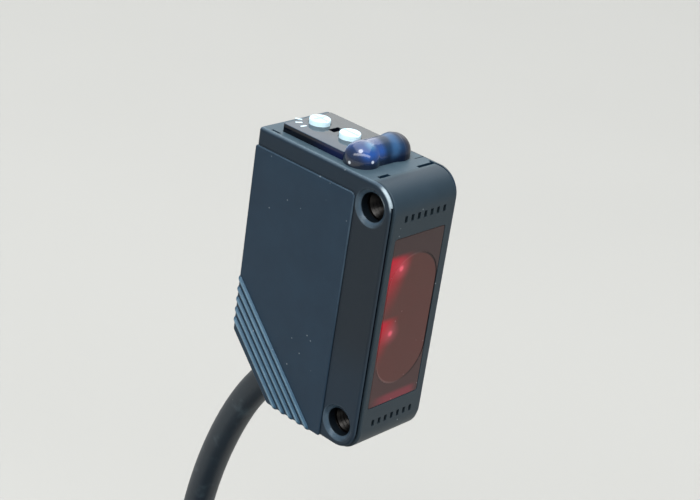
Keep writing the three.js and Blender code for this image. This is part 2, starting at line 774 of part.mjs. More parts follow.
place("main_board", mainBoard(), BOARD_GREEN);
place("indicator_board", indicatorBoard(), BOARD_GREEN);
place("board_link", boardLink(), BLACK_PLASTIC);
place("signal_chip", chip(4.6, 3.9, 5.0, 7), CHIP_BLACK);
place("output_transistor", chip(-0.7, 2.2, 2.6, 3), CHIP_BLACK);
place("input_capacitor", inputCapacitor(), TAN_CERAMIC);
place("surge_diode", surgeDiode(), CHIP_BLACK);

place("adjuster_body", controlBody(ADJUSTER_Y), BLACK_PLASTIC);
place("selector_body", controlBody(SELECTOR_Y), BLACK_PLASTIC);
place("sensitivity_knob", knob(2), WHITE_PLASTIC, [MID_X, ADJUSTER_Y, 0]);
place("selector_knob", knob(1), WHITE_PLASTIC, [MID_X, SELECTOR_Y, 0]);
place("adjuster_seal", stemSeal(ADJUSTER_Y), RUBBER);
place("selector_seal", stemSeal(SELECTOR_Y), RUBBER);

place("indicator_cap", indicatorCap(), SMOKE_CAP);
place("stability_led", indicatorLed(-1), CLEAR_GREEN);
place("operation_led", indicatorLed(1), CLEAR_ORANGE);
place("stability_light_guide", lightGuide(-1), CLEAR_GREEN);
place("operation_light_guide", lightGuide(1), CLEAR_ORANGE);

place("cable_bush", cableBush(), RUBBER);
place("cable_stub", cableStub(), CABLE_PVC);
place("crimp_ring", crimpRing(), TINNED_STEEL);
place("inner_lead_brown", innerLead(-1, -7.6), LEAD_BROWN);
place("inner_lead_blue", innerLead(0, -7.0), LEAD_BLUE);
place("inner_lead_black", innerLead(1, -7.6), LEAD_BLACK);

place("cable_drop", cableDrop(), CABLE_PVC);
place("cable_coil", cableCoil(), CABLE_PVC);
place("cable_tail", cableTail(), CABLE_PVC);
place("coil_tie", coilTie(), BLACK_PLASTIC);
place("free_lead_brown", freeLead(1), LEAD_BROWN);
place("free_lead_blue", freeLead(0), LEAD_BLUE);
place("free_lead_black", freeLead(-1), LEAD_BLACK);

export default sensor;
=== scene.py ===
"""Looks of a compact rectangular photoelectric sensor with a built-in 2 m cable.

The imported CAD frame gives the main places. This script makes the fine surfaces, finishes, cable, light and
camera. Metres, +Z up. The lens side faces -Y, the plain cover side -X, the mounting side is the plane x = 0.
"""

import math

import bmesh
import bpy
from mathutils import Matrix, Quaternion, Vector


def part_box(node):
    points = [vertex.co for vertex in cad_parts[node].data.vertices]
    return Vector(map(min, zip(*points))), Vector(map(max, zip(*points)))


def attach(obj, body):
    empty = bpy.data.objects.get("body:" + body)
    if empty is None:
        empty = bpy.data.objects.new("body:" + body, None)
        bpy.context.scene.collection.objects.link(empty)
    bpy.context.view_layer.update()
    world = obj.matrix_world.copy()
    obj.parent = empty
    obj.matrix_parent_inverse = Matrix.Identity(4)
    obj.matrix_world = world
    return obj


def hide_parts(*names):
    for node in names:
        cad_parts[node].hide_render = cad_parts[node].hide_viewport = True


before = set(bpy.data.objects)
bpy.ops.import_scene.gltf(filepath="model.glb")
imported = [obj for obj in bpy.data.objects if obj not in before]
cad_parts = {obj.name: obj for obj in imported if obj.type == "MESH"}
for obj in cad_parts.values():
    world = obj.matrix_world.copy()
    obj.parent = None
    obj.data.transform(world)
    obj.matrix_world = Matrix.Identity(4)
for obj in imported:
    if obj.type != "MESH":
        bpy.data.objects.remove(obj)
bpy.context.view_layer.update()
scene = bpy.context.scene

MM = 0.001

# ---- driving sizes ----
bezel_low, bezel_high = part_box("front_bezel")
cover_low, cover_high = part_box("side_cover")
window_low, window_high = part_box("front_window")
cap_low, cap_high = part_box("indicator_cap")
tie_low, tie_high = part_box("coil_tie")
coil_low, coil_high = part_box("cable_coil")
insert_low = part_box("upper_threaded_insert")[0]
dial_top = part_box("sensitivity_knob")[1].z

HALF_HEIGHT = 15.5 * MM
BACK = 17.0 * MM
NEAR = -10.5 * MM
FRONT = bezel_low.y
LIP_FRONT = FRONT + 0.25 * MM
MID_X = -5.4 * MM
CORNER_RADIUS = 2.8 * MM
CUT_LINE = 26.0 * MM  # y - z along the cut rear bottom corner
HOLE_HEIGHT = 12.7 * MM
DIAL_Y = {"sensitivity_knob": 13.0 * MM, "selector_knob": 8.5 * MM}

DOME_Y = 4.42 * MM
DOME_HALF_PITCH = 2.39 * MM
DOME_RADIUS = 1.93 * MM
DOME_WAIST = 1.66 * MM  # half width of the saddle between the lobes
DOME_SADDLE = 1.88 * MM  # its height above the dome's base
DOME_BASE = 16.0 * MM
CAP_TOP = 16.4 * MM
PLATE_X = (-9.05 * MM, -1.75 * MM)

CABLE_RADIUS = 1.85 * MM
CABLE_EXIT = Vector((-5.4, 12.9, -13.1)) * MM
CABLE_AXIS = Vector((0, 1, -1)).normalized()
FLOOR_HEIGHT = tie_low.z


def toward(azimuth, elevation):
    """The unit vector at an azimuth from -Y and an elevation, both in degrees."""
    azimuth, elevation = math.radians(azimuth), math.radians(elevation)
    level = math.cos(elevation)
    return Vector((math.sin(azimuth) * level, -math.cos(azimuth) * level, math.sin(elevation)))


# ---- camera ----
def add_camera():
    aim = Vector((1.587, 12.013, 0)) * MM
    distance = 187.184 * MM
    roll = math.radians(8.62)
    back = toward(-49.86, 24.52)
    data = bpy.data.cameras.new("camera")
    data.sensor_width = 36
    data.lens = 84.48
    data.clip_start = 0.01
    data.clip_end = 20
    camera = bpy.data.objects.new("camera", data)
    camera.rotation_mode = "QUATERNION"
    camera.location = aim + back * distance
    camera.rotation_quaternion = (-back).to_track_quat("-Z", "Y") @ Quaternion((0, 0, 1), roll)
    scene.collection.objects.link(camera)
    scene.camera = camera


add_camera()


# ---- node trees ----
class Wire:
    """One output socket of a node tree. Arithmetic on it adds Math nodes."""

    def __init__(self, plan, socket):
        self.plan = plan
        self.socket = socket

    def math(self, operation, first, second=None):
        sockets = {0: first} if second is None else {0: first, 1: second}
        return self.plan.node("ShaderNodeMath", {"operation": operation}, sockets)

    def __add__(self, other):
        return self.math("ADD", self, other)

    def __radd__(self, other):
        return self.math("ADD", other, self)

    def __sub__(self, other):
        return self.math("SUBTRACT", self, other)

    def __rsub__(self, other):
        return self.math("SUBTRACT", other, self)

    def __mul__(self, other):
        return self.math("MULTIPLY", self, other)

    def __truediv__(self, other):
        return self.math("DIVIDE", self, other)

    def __pow__(self, other):
        return self.math("POWER", self, other)

    def __lt__(self, other):
        return self.math("LESS_THAN", self, other)

    def __mod__(self, other):
        return self.math("FLOORED_MODULO", self, other)

    def lower(self, other):
        return self.math("MINIMUM", self, other)

    def higher(self, other):
        return self.math("MAXIMUM", self, other)

    def size(self):
        return self.math("ABSOLUTE", self)

    def floor(self):
        return self.math("FLOOR", self)

    def ease(self, start, end):
        """0 at start, 1 at end, smooth between them; start may be the larger."""
        low, high = min(start, end), max(start, end)
        eased = self.plan.node(
            "ShaderNodeMapRange",
            {"interpolation_type": "SMOOTHSTEP"},
            {"Value": self, "From Min": low, "From Max": high},
        )
        return eased if start < end else 1 - eased


class Plan:
    """A shader or geometry node tree under construction."""

    def __init__(self, tree):
        self.tree = tree

    def node(self, kind, settings=None, sockets=None, out=0):
        made = self.tree.nodes.new(kind)
        for key, value in (settings or {}).items():
            setattr(made, key, value)
        for key, value in (sockets or {}).items():
            self.feed(made.inputs[key], value)
        return Wire(self, made.outputs[out] if len(made.outputs) else None)

    def feed(self, socket, value):
        if isinstance(value, Wire):
            self.tree.links.new(value.socket, socket)
        elif isinstance(value, (list, tuple)) and socket.type == "RGBA":
            socket.default_value = (*value, 1)
        else:
            socket.default_value = value


def linear(red, green, blue):
    """Screen colour, 0 to 255, as the linear colour that shaders use."""

    def one(c):
        c /= 255
        return c / 12.92 if c <= 0.04045 else ((c + 0.055) / 1.055) ** 2.4

    return (one(red), one(green), one(blue))


class Finish(Plan):
    """A material: surface patterns in Object coordinates, ending in one Principled shader."""

    def __init__(self, name):
        self.material = bpy.data.materials.new(name)
        self.material.use_nodes = True
        super().__init__(self.material.node_tree)
        self.tree.nodes.clear()
        self.place = self.node("ShaderNodeTexCoord", out="Object")
        self.axes = None

    def xyz(self):
        """The three object coordinates, in millimetres."""
        if self.axes is None:
            split = self.node("ShaderNodeSeparateXYZ", {}, {0: self.place}).socket.node
            self.axes = [Wire(self, split.outputs[i]) / MM for i in range(3)]
        return self.axes

    def noise(self, grain, detail=2, roughness=0.5, stretch=None):
        """Noise from 0 to 1 whose features are about grain millimetres across."""
        place = self.place
        if stretch:
            place = self.node("ShaderNodeMapping", {}, {"Vector": place, "Scale": stretch})
        sockets = {"Vector": place, "Scale": 1 / (grain * MM), "Detail": detail, "Roughness": roughness}
        return self.node("ShaderNodeTexNoise", {}, sockets)

    def specks(self, spacing, size, share):
        """Sparse round spots, size millimetres across, in a given share of cells spacing millimetres wide."""
        sockets = {"Vector": self.place, "Scale": 1 / (spacing * MM), "Randomness": 1.0}
        cell = self.node("ShaderNodeTexVoronoi", {}, sockets)
        pick = self.node("ShaderNodeSeparateColor", {}, {0: Wire(self, cell.socket.node.outputs["Color"])})
        reach = size / spacing / 2
        return cell.ease(reach, reach * 0.4) * (pick < share)

    def blend(self, amount, first, second):
        """Colour between first and second."""
        settings = {"data_type": "RGBA"}
        return self.node("ShaderNodeMix", settings, {0: amount, 6: first, 7: second}, out=2)

    def bump(self, height, strength, depth, normal=None):
        """Relief whose full height is depth millimetres."""
        sockets = {"Height": height, "Strength": strength, "Distance": depth * MM}
        if normal:
            sockets["Normal"] = normal
        return self.node("ShaderNodeBump", {}, sockets)

    def surface(self, sockets):
        shader = self.node("ShaderNodeBsdfPrincipled", {}, sockets)
        self.node("ShaderNodeOutputMaterial", {}, {"Surface": shader})
        return self.material


# ---- finishes ----
def moulded_plastic(name, colour, light, roughness, grain=0.09, relief=0.012, dust=0.75):
    """Spark-eroded moulded plastic: fine texture, faint cloudiness, a little dust, edges worn smooth and
    glossy. Light and shade are also painted into the colour by place: painted shade beside the cover, along
    the far top edge and down the holes; painted highlights on the cover's edges, the rib crests, the top
    face, the near rim, the front top corner and the hole mouths; a painted bluish tint toward the top.
    """
    f = Finish(name)
    x, y, z = f.xyz()
    cloud = f.noise(5.0, 3)
    blotch = f.noise(1.3, 3, 0.6)
    texture = f.noise(grain, 2, 0.6)
    dirt = f.specks(1.6, 0.22, 0.62) * 0.7 + f.specks(4.6, 0.45, 0.6) * 0.6
    tone = f.blend(cloud * 0.45 + blotch * 0.3 + texture * 0.25, colour, light)
    near, top, hole = NEAR / MM, HALF_HEIGHT / MM, HOLE_HEIGHT / MM
    # Painted shade: the near side is darkened in a strip beside the cover.
    painted_shade_beside_cover = x.ease(near - 0.08, near - 0.02) * x.ease(near + 0.3, near + 0.1)
    tone = f.blend(painted_shade_beside_cover * (0.5 + z.ease(-9, -1) * 0.4), tone, linear(18, 24, 31))
    # Painted highlight along the cover's top and front edges.
    painted_cover_edge_highlight = z.ease(13.3, 13.44).higher(y.ease(2.4, 2.26) * z.ease(-6, 8)) * x.ease(near, near - 0.04)
    tone = f.blend(painted_cover_edge_highlight * blotch * 0.4, tone, linear(96, 116, 130))
    # Painted highlight on the rib crests.
    painted_crest_highlight = x.ease(near - 0.29, near - 0.36)
    tone = f.blend(painted_crest_highlight * (0.25 + blotch * 0.5), tone, linear(120, 150, 168))
    # Painted bluish tint of reflected light toward the top.
    upper = z.ease(11.5, 14.5) * (0.25 + cloud * 0.5)
    tone = f.blend(upper * 0.4, tone, linear(6, 44, 66))
    # Painted light: the top face is made lighter.
    painted_top_face_light = z.ease(top - 0.1, top - 0.02) * y.ease(-0.2, 0.6)
    tone = f.blend(painted_top_face_light * (0.22 + blotch * 0.38), tone, linear(84, 104, 112))
    # Painted shade along the far top edge.
    painted_far_edge_shade = x.ease(-0.34, -0.16) * z.ease(top - 0.5, top - 0.2)
    tone = f.blend(painted_far_edge_shade * 0.9, tone, linear(8, 11, 14))
    # Painted highlight on the rounded near rim, stronger toward the front, and a brighter one on the front
    # top corner.
    rim = x.ease(near + 0.03, near + 0.14) * x.ease(near + 0.5, near + 0.3)
    corner = rim * y.ease(-0.6, -1.4) * z.ease(13.0, 13.9)
    rim = rim * (0.35 + y.ease(-2.0, -1.0) * 0.65)
    # Painted highlight on the lit side of each hole's mouth cone; together with the rim, it also gets lower
    # roughness, as real wear.
    above_hole = z - (z.ease(-1, 1) * 2 - 1) * hole
    from_hole = (y * y + (z.size() - hole) ** 2) ** 0.5
    lit_side = 0.35 + (y - above_hole).ease(0.2, 1.8) * 0.9
    mouth = from_hole.ease(2.2, 2.05) * x.ease(near + 0.5, near + 0.35) * from_hole.ease(1.58, 1.62)
    wear_and_painted_highlight = rim.higher(mouth * lit_side) * (0.6 + blotch * 0.5)
    # Painted shade down inside the mounting holes.
    painted_shade_down_hole = from_hole.ease(1.75, 1.62) * x.ease(near + 0.1, near + 0.5) * x.ease(-1.2, -1.6)
    tone = f.blend(painted_shade_down_hole * 0.9, tone, linear(5, 8, 11))
    # Painted highlights: near rim and hole mouths, then the front top corner.
    tone = f.blend(wear_and_painted_highlight * 0.22, tone, linear(110, 132, 148))
    tone = f.blend(corner * 0.6, tone, linear(186, 202, 210))
    tone = f.blend(dirt.lower(1) * dust, tone, linear(150, 160, 166))
    rough = (texture - 0.5) * 0.14 + cloud * 0.06 + blotch * 0.06 + roughness
    return f.surface(
        {
            "Base Color": tone,
            "Roughness": rough - wear_and_painted_highlight * 0.22,
            "Specular IOR Level": 0.34,
            "Specular Tint": (0.8, 0.92, 1.0),
            "Normal": f.bump(texture, 0.7, relief),
        }
    )


def red_window():
    """Deep red acrylic: dark where it lies over the holder, with glows painted into its colour and emission
    where each lens would send its light on, painted bright spots, a painted lit lower edge and a painted
    light and dark side on the engraved line.
    """
    f = Finish("red_window")
    x, _, z = f.xyz()
    mottle = f.noise(0.6, 3)
    cloud = f.noise(3.0, 3)
    across = x - MID_X / MM
    beyond = (z.size() - 3.86).higher(0)
    reach = (across * across + beyond * beyond) ** 0.5
    inside = reach.ease(3.95, 3.7)
    shade = f.blend(inside, linear(59, 44, 44), linear(77, 48, 43))
    shade = f.blend(cloud * 0.4 * inside + z.ease(6.5, -8.5) * 0.15, shade, linear(93, 44, 43))
    line = reach.ease(3.66, 3.76) * reach.ease(3.96, 3.86)
    # The engraved line is drawn dark, darkest on its far side as painted shade, and light on its near side as
    # a painted highlight.
    shade = f.blend(line * across.ease(-2.0, 2.4) * 0.85, shade, linear(24, 14, 16))
    shade = f.blend(line * across.ease(2.0, -2.4) * 0.25, shade, linear(150, 120, 118))
    # Painted glow, in colour and emission, below each lens.
    painted_glow = None
    for top, tail, width in ((7.9, -1.6, 3.9), (0.6, -6.4, 2.9)):
        fall = ((top - z) / (top - tail)).higher(0)
        edge = (1 - fall.lower(1)) ** 0.7 * width + 0.2
        side = ((x + 9.35) / edge).ease(1.0, 0.05)
        lobe = side * fall.ease(1.0, 0.0) ** 1.9 * z.ease(top + 0.4, top - 0.5)
        painted_glow = lobe if painted_glow is None else painted_glow.higher(lobe)
    # Painted bright spots at the top of each glow.
    painted_spark_spots = None
    for spot_x, spot_z in ((-7.6, 6.4), (-7.7, -1.2)):
        away = ((x - spot_x) ** 2 + (z - spot_z) ** 2) ** 0.5
        painted_spark_spot = away.ease(0.5, 0.0) + away.ease(1.7, 0.0) * 0.3
        painted_spark_spots = painted_spark_spot if painted_spark_spots is None else painted_spark_spots + painted_spark_spot
    # Painted lit edge along the bottom of the window.
    rim = z.ease(-8.6, -9.3) * x.ease(-1.6, -3.0) * x.ease(-9.6, -6.5)
    shade = f.blend(rim * 0.45, shade, linear(150, 48, 66))
    shade = f.blend((painted_glow * (0.7 + mottle * 0.4)).lower(1), shade, linear(142, 6, 30))
    shade = f.blend(painted_spark_spots.lower(1) * 0.6, shade, linear(240, 110, 130))
    scuff = f.specks(1.6, 0.22, 0.7)
    shade = f.blend(scuff * 0.4, shade, linear(170, 140, 140))
    worn_edge = x.ease(-2.4, -1.5) * z.ease(2, -7)
    shade = f.blend(f.specks(0.55, 0.2, 0.7) * worn_edge * 0.6, shade, linear(170, 166, 168))
    # The painted glows and bright spots also give off light (emission).
    painted_glow_light = f.blend((painted_glow + painted_spark_spots * 0.5).lower(1), (0, 0, 0), linear(200, 10, 42))
    return f.surface(
        {
            "Base Color": shade,
            "Roughness": 0.24 + mottle * 0.14,
            "Specular IOR Level": 0.22,
            "Emission Color": painted_glow_light,
            "Emission Strength": 0.32,
            "Normal": f.bump(f.noise(1.6, 2), 0.25, 0.01),
        }
    )


def smoked_plate():
    """The smoke-clear plate: dark through its walls, with a painted grey reflection on top, bluer toward the
    near end.
    """
    f = Finish("smoked_plate")
    x, y, z = f.xyz()
    top = CAP_TOP / MM
    cloud = f.noise(1.2, 3)
    wall = f.blend(y.ease(11.5, 6.6), linear(6, 9, 18), linear(14, 22, 58))
    # Painted reflection on the top face: grey, bluer toward the near end.
    flat = f.blend(x.ease(-4.5, -9.0), linear(40, 43, 43), linear(16, 40, 60))
    tone = f.blend(z.ease(top - 0.09, top - 0.02), wall, f.blend(cloud * 0.3, flat, linear(90, 104, 112)))
    return f.surface(
        {
            "Base Color": tone,
            "Roughness": 0.05 + cloud * 0.05,
            "Specular IOR Level": 0.36,
            "Normal": f.bump(f.noise(0.9, 2), 0.12, 0.02),
        }
    )


def smoked_dome():
    """The smoke-blue domes: the near one polished, the far one faintly matt. Painted into the colour: a grey
    reflection toward the tops, a light-blue highlight patch on the near lobe, a highlight band on the far
    lobe, shade at both ends and two glints that also give off light.
    """
    f = Finish("smoked_dome")
    x, y, z = f.xyz()
    far_side = x.ease(-6.4, -5.4)
    cloud = f.noise(1.2, 3)
    blue = f.blend(far_side, linear(14, 66, 138), linear(14, 44, 76))
    deep = f.blend(z.ease(15.8, 17.1), linear(2, 5, 30), blue)
    # Painted grey reflection toward the tops.
    deep = f.blend(z.ease(16.9, 17.9) * 0.6, deep, linear(46, 52, 60))
    # Painted light-blue highlight patch on the near lobe.
    painted_highlight_patch = ((x + 7.7) ** 2 + (y - 3.6) ** 2 + (z - 17.6) ** 2) ** 0.5
    deep = f.blend(painted_highlight_patch.ease(0.9, 0.1) * 0.5, deep, linear(80, 140, 176))
    # Painted highlight band down the far lobe.
    band = (x + 4.3 - (z - 17.0) * 0.25).size().ease(0.9, 0.1) * z.ease(15.6, 16.6)
    deep = f.blend(band * far_side * 0.55, deep, linear(54, 96, 140))
    # Painted dark brownish shade at the far end and dark shade at the near end.
    deep = f.blend(x.ease(-3.5, -2.3) * 0.85, deep, linear(48, 42, 40))
    deep = f.blend(x.ease(-8.6, -9.5) * 0.85, deep, linear(13, 12, 18))
    tone = f.blend(cloud * 0.12, deep, linear(50, 90, 130))
    # Two painted glints low on the near lobe, which also give off light.
    painted_dome_glints = None
    for spot_x, spot_y, spot_z in ((-9.72, 4.32, 15.94), (-8.14, 2.55, 16.3)):
        away = ((x - spot_x) ** 2 + (y - spot_y) ** 2 + (z - spot_z) ** 2) ** 0.5
        painted_dome_glint = away.ease(0.21, 0.12)
        painted_dome_glints = painted_dome_glint if painted_dome_glints is None else painted_dome_glints + painted_dome_glint
    return f.surface(
        {
            "Base Color": tone,
            "Emission Color": f.blend(painted_dome_glints.lower(1), (0, 0, 0), linear(226, 234, 240)),
            "Emission Strength": 0.7,
            "Roughness": 0.24 + far_side * 0.08 + cloud * 0.05,
            "Specular IOR Level": 0.2,
            "Coat Weight": 1 - far_side * 0.9,
            "Coat Roughness": 0.04,
            "Normal": f.bump(f.noise(0.9, 2), 0.05, 0.02),
        }
    )


def white_plastic():
    f = Finish("white_plastic")
    cloud = f.noise(0.8, 3)
    tone = f.blend(cloud, linear(196, 222, 232), linear(184, 212, 224))
    return f.surface(
        {
            "Base Color": tone,
            "Roughness": 0.38 + cloud * 0.15,
            # Painted glow: the white plastic gives off light of its own, brightening the dials and scale
            # ticks.
            "Emission Color": tone,
            "Emission Strength": 0.3,
            "Normal": f.bump(f.noise(0.12, 2), 0.3, 0.01),
        }
    )


def cable_jacket():
    """Matt grey PVC with the faint lengthwise drag marks and mottle of an extruded jacket."""
    f = Finish("cable_jacket")
    cloud = f.noise(6.0, 4)
    grain = f.noise(0.16, 3, 0.6)
    drag = f.noise(0.7, 2, 0.5, stretch=(1, 0.25, 0.25))
    tone = f.blend(cloud * 0.6 + drag * 0.4, linear(8, 19, 28), linear(26, 40, 50))
    tone = f.blend(f.noise(2.4, 3).ease(0.55, 0.8) * 0.35, tone, linear(84, 102, 110))
    tone = f.blend(f.specks(2.6, 0.3, 0.5) * 0.4, tone, linear(150, 156, 160))
    return f.surface(
        {
            "Base Color": tone,
            "Roughness": 0.38 + grain * 0.12 + cloud * 0.06,
            "Normal": f.bump(grain, 0.5, 0.02, f.bump(drag, 0.3, 0.03)),
        }
    )


def rubber(name, colour):
    f = Finish(name)
    grain = f.noise(0.12, 3, 0.6)
    bloom = f.noise(1.8, 3)
    tone = f.blend(bloom * 0.5, colour, tuple(min(1, c * 2.4) for c in colour))
    sockets = {"Base Color": tone, "Roughness": 0.68 + grain * 0.15, "Normal": f.bump(grain, 0.6, 0.02)}
    return f.surface(sockets)


def plain_plastic(name, colour, roughness, grain=0.1):
    """Small moulded parts: even colour with a fine skin texture and slight cloudiness."""
    f = Finish(name)
    cloud = f.noise(1.5, 3)
    skin = f.noise(grain, 2)
    tone = f.blend(cloud * 0.5, colour, tuple(min(1, c * 1.35 + 0.004) for c in colour))
    sockets = {
        "Base Color": tone,
        "Roughness": (skin - 0.5) * 0.12 + roughness + cloud * 0.05,
        "Normal": f.bump(skin, 0.4, 0.008),
    }
    return f.surface(sockets)


def clear_plastic(name, colour):
    f = Finish(name)
    cloud = f.noise(0.9, 3)
    tone = f.blend(cloud * 0.4, colour, tuple(min(1, c * 1.5 + 0.01) for c in colour))
    sockets = {
        "Base Color": tone,
        "Roughness": 0.08 + cloud * 0.06,
        "Coat Weight": 0.5,
        "Coat Roughness": 0.05,
        "Normal": f.bump(cloud, 0.1, 0.01),
    }
    return f.surface(sockets)


def metal(name, colour, roughness, stretch=(1, 1, 1)):
    f = Finish(name)
    draw = f.noise(0.2, 3, 0.6, stretch=stretch)
    tarnish = f.noise(1.2, 3)
    tone = f.blend(tarnish * 0.6, colour, tuple(c * 0.55 for c in colour))
    sockets = {
        "Base Color": tone,
        "Metallic": 1.0,
        "Roughness": roughness + draw * 0.12 + tarnish * 0.08,
        "Normal": f.bump(draw, 0.35, 0.01),
    }
    return f.surface(sockets)


def circuit_board():
    """Green solder mask over copper tracks that run up and down the board."""
    f = Finish("circuit_board")
    x, _, z = f.xyz()
    weave = f.noise(0.35, 2)
    track = ((x * 1.6 + (z * 0.5).floor() * 0.5) % 1.0 - 0.5).size().ease(0.22, 0.14)
    pad = f.specks(1.4, 0.5, 0.3)
    tone = f.blend(track * 0.7, linear(18, 74, 44), linear(34, 104, 62))
    tone = f.blend(pad, tone, linear(186, 178, 150))
    sockets = {
        "Base Color": tone,
        "Roughness": 0.35 + weave * 0.15,
        "Metallic": pad * 0.8,
        "Normal": f.bump(track + weave * 0.3, 0.4, 0.03),
    }
    return f.surface(sockets)


def pale_floor():
    f = Finish("pale_floor")
    cloud = f.noise(60, 2)
    tone = f.blend(cloud, linear(165, 165, 162), linear(167, 167, 164))
    return f.surface({"Base Color": tone, "Roughness": 0.9, "Specular IOR Level": 0.1})


CASE = moulded_plastic("case_slate", linear(6, 25, 42), linear(30, 51, 68), 0.42)
BEZEL = moulded_plastic("bezel_grey", linear(28, 40, 48), linear(44, 55, 62), 0.44)
RIB = moulded_plastic("rib_slate", linear(30, 58, 80), linear(54, 84, 104), 0.3)
WINDOW = red_window()
PLATE = smoked_plate()
DOME = smoked_dome()
WHITE = white_plastic()
JACKET = cable_jacket()
BLACK = plain_plastic("black_plastic", linear(22, 23, 25), 0.5)
RUBBER = rubber("rubber_black", linear(26, 28, 31))
BRASS = metal("nickel_brass", linear(44, 43, 42), 0.2, (3, 1, 1))
STEEL = metal("tinned_steel", linear(196, 198, 200), 0.3)
COPPER = metal("bare_copper", linear(214, 130, 90), 0.3, (0.3, 3, 3))
LENS = clear_plastic("lens_red", linear(150, 26, 34))
GREEN_CLEAR = clear_plastic("clear_green", linear(70, 170, 96))
ORANGE_CLEAR = clear_plastic("clear_orange", linear(226, 124, 40))
EMITTER = clear_plastic("emitter_red", linear(196, 36, 44))
BOARD = circuit_board()
CHIP = plain_plastic("chip_black", linear(26, 26, 28), 0.45, 0.06)
CERAMIC = plain_plastic("ceramic_tan", linear(184, 154, 106), 0.5, 0.08)
LEAD_FINISH = {
    "brown": plain_plastic("lead_brown", linear(92, 52, 26), 0.42),
    "blue": plain_plastic("lead_blue", linear(28, 80, 170), 0.42),
    "black": plain_plastic("lead_black", linear(18, 18, 19), 0.42),
}


# ---- mesh helpers ----
def to_object(name, mesh, material):
    """A linked object at the origin with its one finish."""
    mesh.name = name
    obj = bpy.data.objects.new(name, mesh)
    scene.collection.objects.link(obj)
    mesh.materials.clear()
    mesh.materials.append(material)
    return obj


def from_bmesh(name, bm, material):
    bmesh.ops.remove_doubles(bm, verts=bm.verts, dist=1e-7)
    bmesh.ops.recalc_face_normals(bm, faces=bm.faces)
    mesh = bpy.data.meshes.new(name)
    bm.to_mesh(mesh)
    bm.free()
    return to_object(name, mesh, material)


def bake(obj):
    """Applies every modifier, so that the object holds one plain mesh."""
    evaluated = obj.evaluated_get(bpy.context.evaluated_depsgraph_get())
    baked = bpy.data.meshes.new_from_object(evaluated)
    obj.modifiers.clear()
    old = obj.data
    obj.data = baked
    baked.name = obj.name
    bpy.data.meshes.remove(old)
    return obj


def crisp(obj, angle=38):
    """Smooth shading with sharp edges past the angle, and flat faces that stay flat beside round edges."""
    for face in obj.data.polygons:
        face.use_smooth = True
    obj.data.set_sharp_from_angle(angle=math.radians(angle))
    weighted = obj.modifiers.new("weighted", "WEIGHTED_NORMAL")
    weighted.keep_sharp = True
    weighted.weight = 80
    return bake(obj)


def carve(obj, *cutters):
    """Cuts each cutter out of obj by an exact boolean, and removes the cutters."""
    for cutter in cutters:
        modifier = obj.modifiers.new("carve", "BOOLEAN")
        modifier.operation = "DIFFERENCE"
        modifier.solver = "EXACT"
        modifier.object = cutter
    bake(obj)
    for cutter in cutters:
        mesh = cutter.data
        bpy.data.objects.remove(cutter)
        bpy.data.meshes.remove(mesh)
    return obj


def stand_in(obj, body, slot, *nodes):
    """The piece rides on a body and stands for CAD nodes; slot is not used."""
    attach(obj, body)
    if nodes:
        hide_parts(*nodes)
    return obj


def rounded(corners, inset=0.0, steps=6):
    """A closed outline with round corners. A corner is (u, v, radius), listed anticlockwise.

    inset moves each side inward.
    """
    count = len(corners)
    points = [Vector(c[:2]) for c in corners]
    sides = []
    for i in range(count):
        along = (points[(i + 1) % count] - points[i]).normalized()
        inward = Vector((-along.y, along.x))
        sides.append((points[i] + inward * inset, along, inward))
    outline = []
    for i in range(count):
        before, after = sides[i - 1], sides[i]
        turn = before[1].x * after[1].y - before[1].y * after[1].x
        gap = after[0] - before[0]
        reach = (gap.x * after[1].y - gap.y * after[1].x) / turn
        corner = before[0] + before[1] * reach
        convex = 1 if turn > 0 else -1
        radius = max(corners[i][2] - convex * inset, 0.004 * MM)
        angle = math.atan2(turn, before[1].dot(after[1]))
        start = corner - before[1] * radius * math.tan(abs(angle) / 2)
        centre = start + before[2] * convex * radius
        spoke = start - centre
        for k in range(steps + 1):
            turned = Matrix.Rotation(angle * k / steps, 2) @ spoke
            outline.append(centre + turned)
    return outline


def edge_levels(low, high, low_round, high_round, steps=4):
    """(inset, level) pairs of a slab from low to high whose two rims are rounded."""
    levels = []
    for k in range(steps + 1):
        a = math.pi / 2 * k / steps
        levels.append((low_round * (1 - math.sin(a)), low + low_round * (1 - math.cos(a))))
    for k in range(steps + 1):
        a = math.pi / 2 * k / steps
        levels.append((high_round * (1 - math.cos(a)), high - high_round * (1 - math.sin(a))))
    return levels


AXES = {
    "x": lambda u, v, level: Vector((level, u, v)),
    "y": lambda u, v, level: Vector((u, level, v)),
    "z": lambda u, v, level: Vector((u, v, level)),
}


def slab(name, corners, levels, axis, material, steps=6):
    """A solid through the outline's insets at each level along an axis."""
    place = AXES[axis]
    bm = bmesh.new()
    rings = []
    for inset, level in levels:
        rings.append([bm.verts.new(place(p.x, p.y, level)) for p in rounded(corners, inset, steps)])
    for one, two in zip(rings, rings[1:]):
        for i in range(len(one)):
            j = (i + 1) % len(one)
            bm.faces.new((one[i], one[j], two[j], two[i]))
    bm.faces.new(rings[0][::-1])
    bm.faces.new(rings[-1])
    return from_bmesh(name, bm, material)


def rectangle(u0, u1, v0, v1, radius):
    return [(u0, v0, radius), (u1, v0, radius), (u1, v1, radius), (u0, v1, radius)]


def flared(name, corners, axis, bottom, surface, flare, outward, steps=4):
    """A cutter from bottom to past the surface whose mouth opens in a small round lip."""
    levels = [(0, bottom)]
    for k in range(steps + 1):
        a = math.pi / 2 * k / steps
        levels.append((-flare * (1 - math.cos(a)), surface - outward * flare * (1 - math.sin(a))))
    levels.append((-flare, surface + outward * 1.0 * MM))
    return slab(name, corners, levels, axis, CASE, 5)


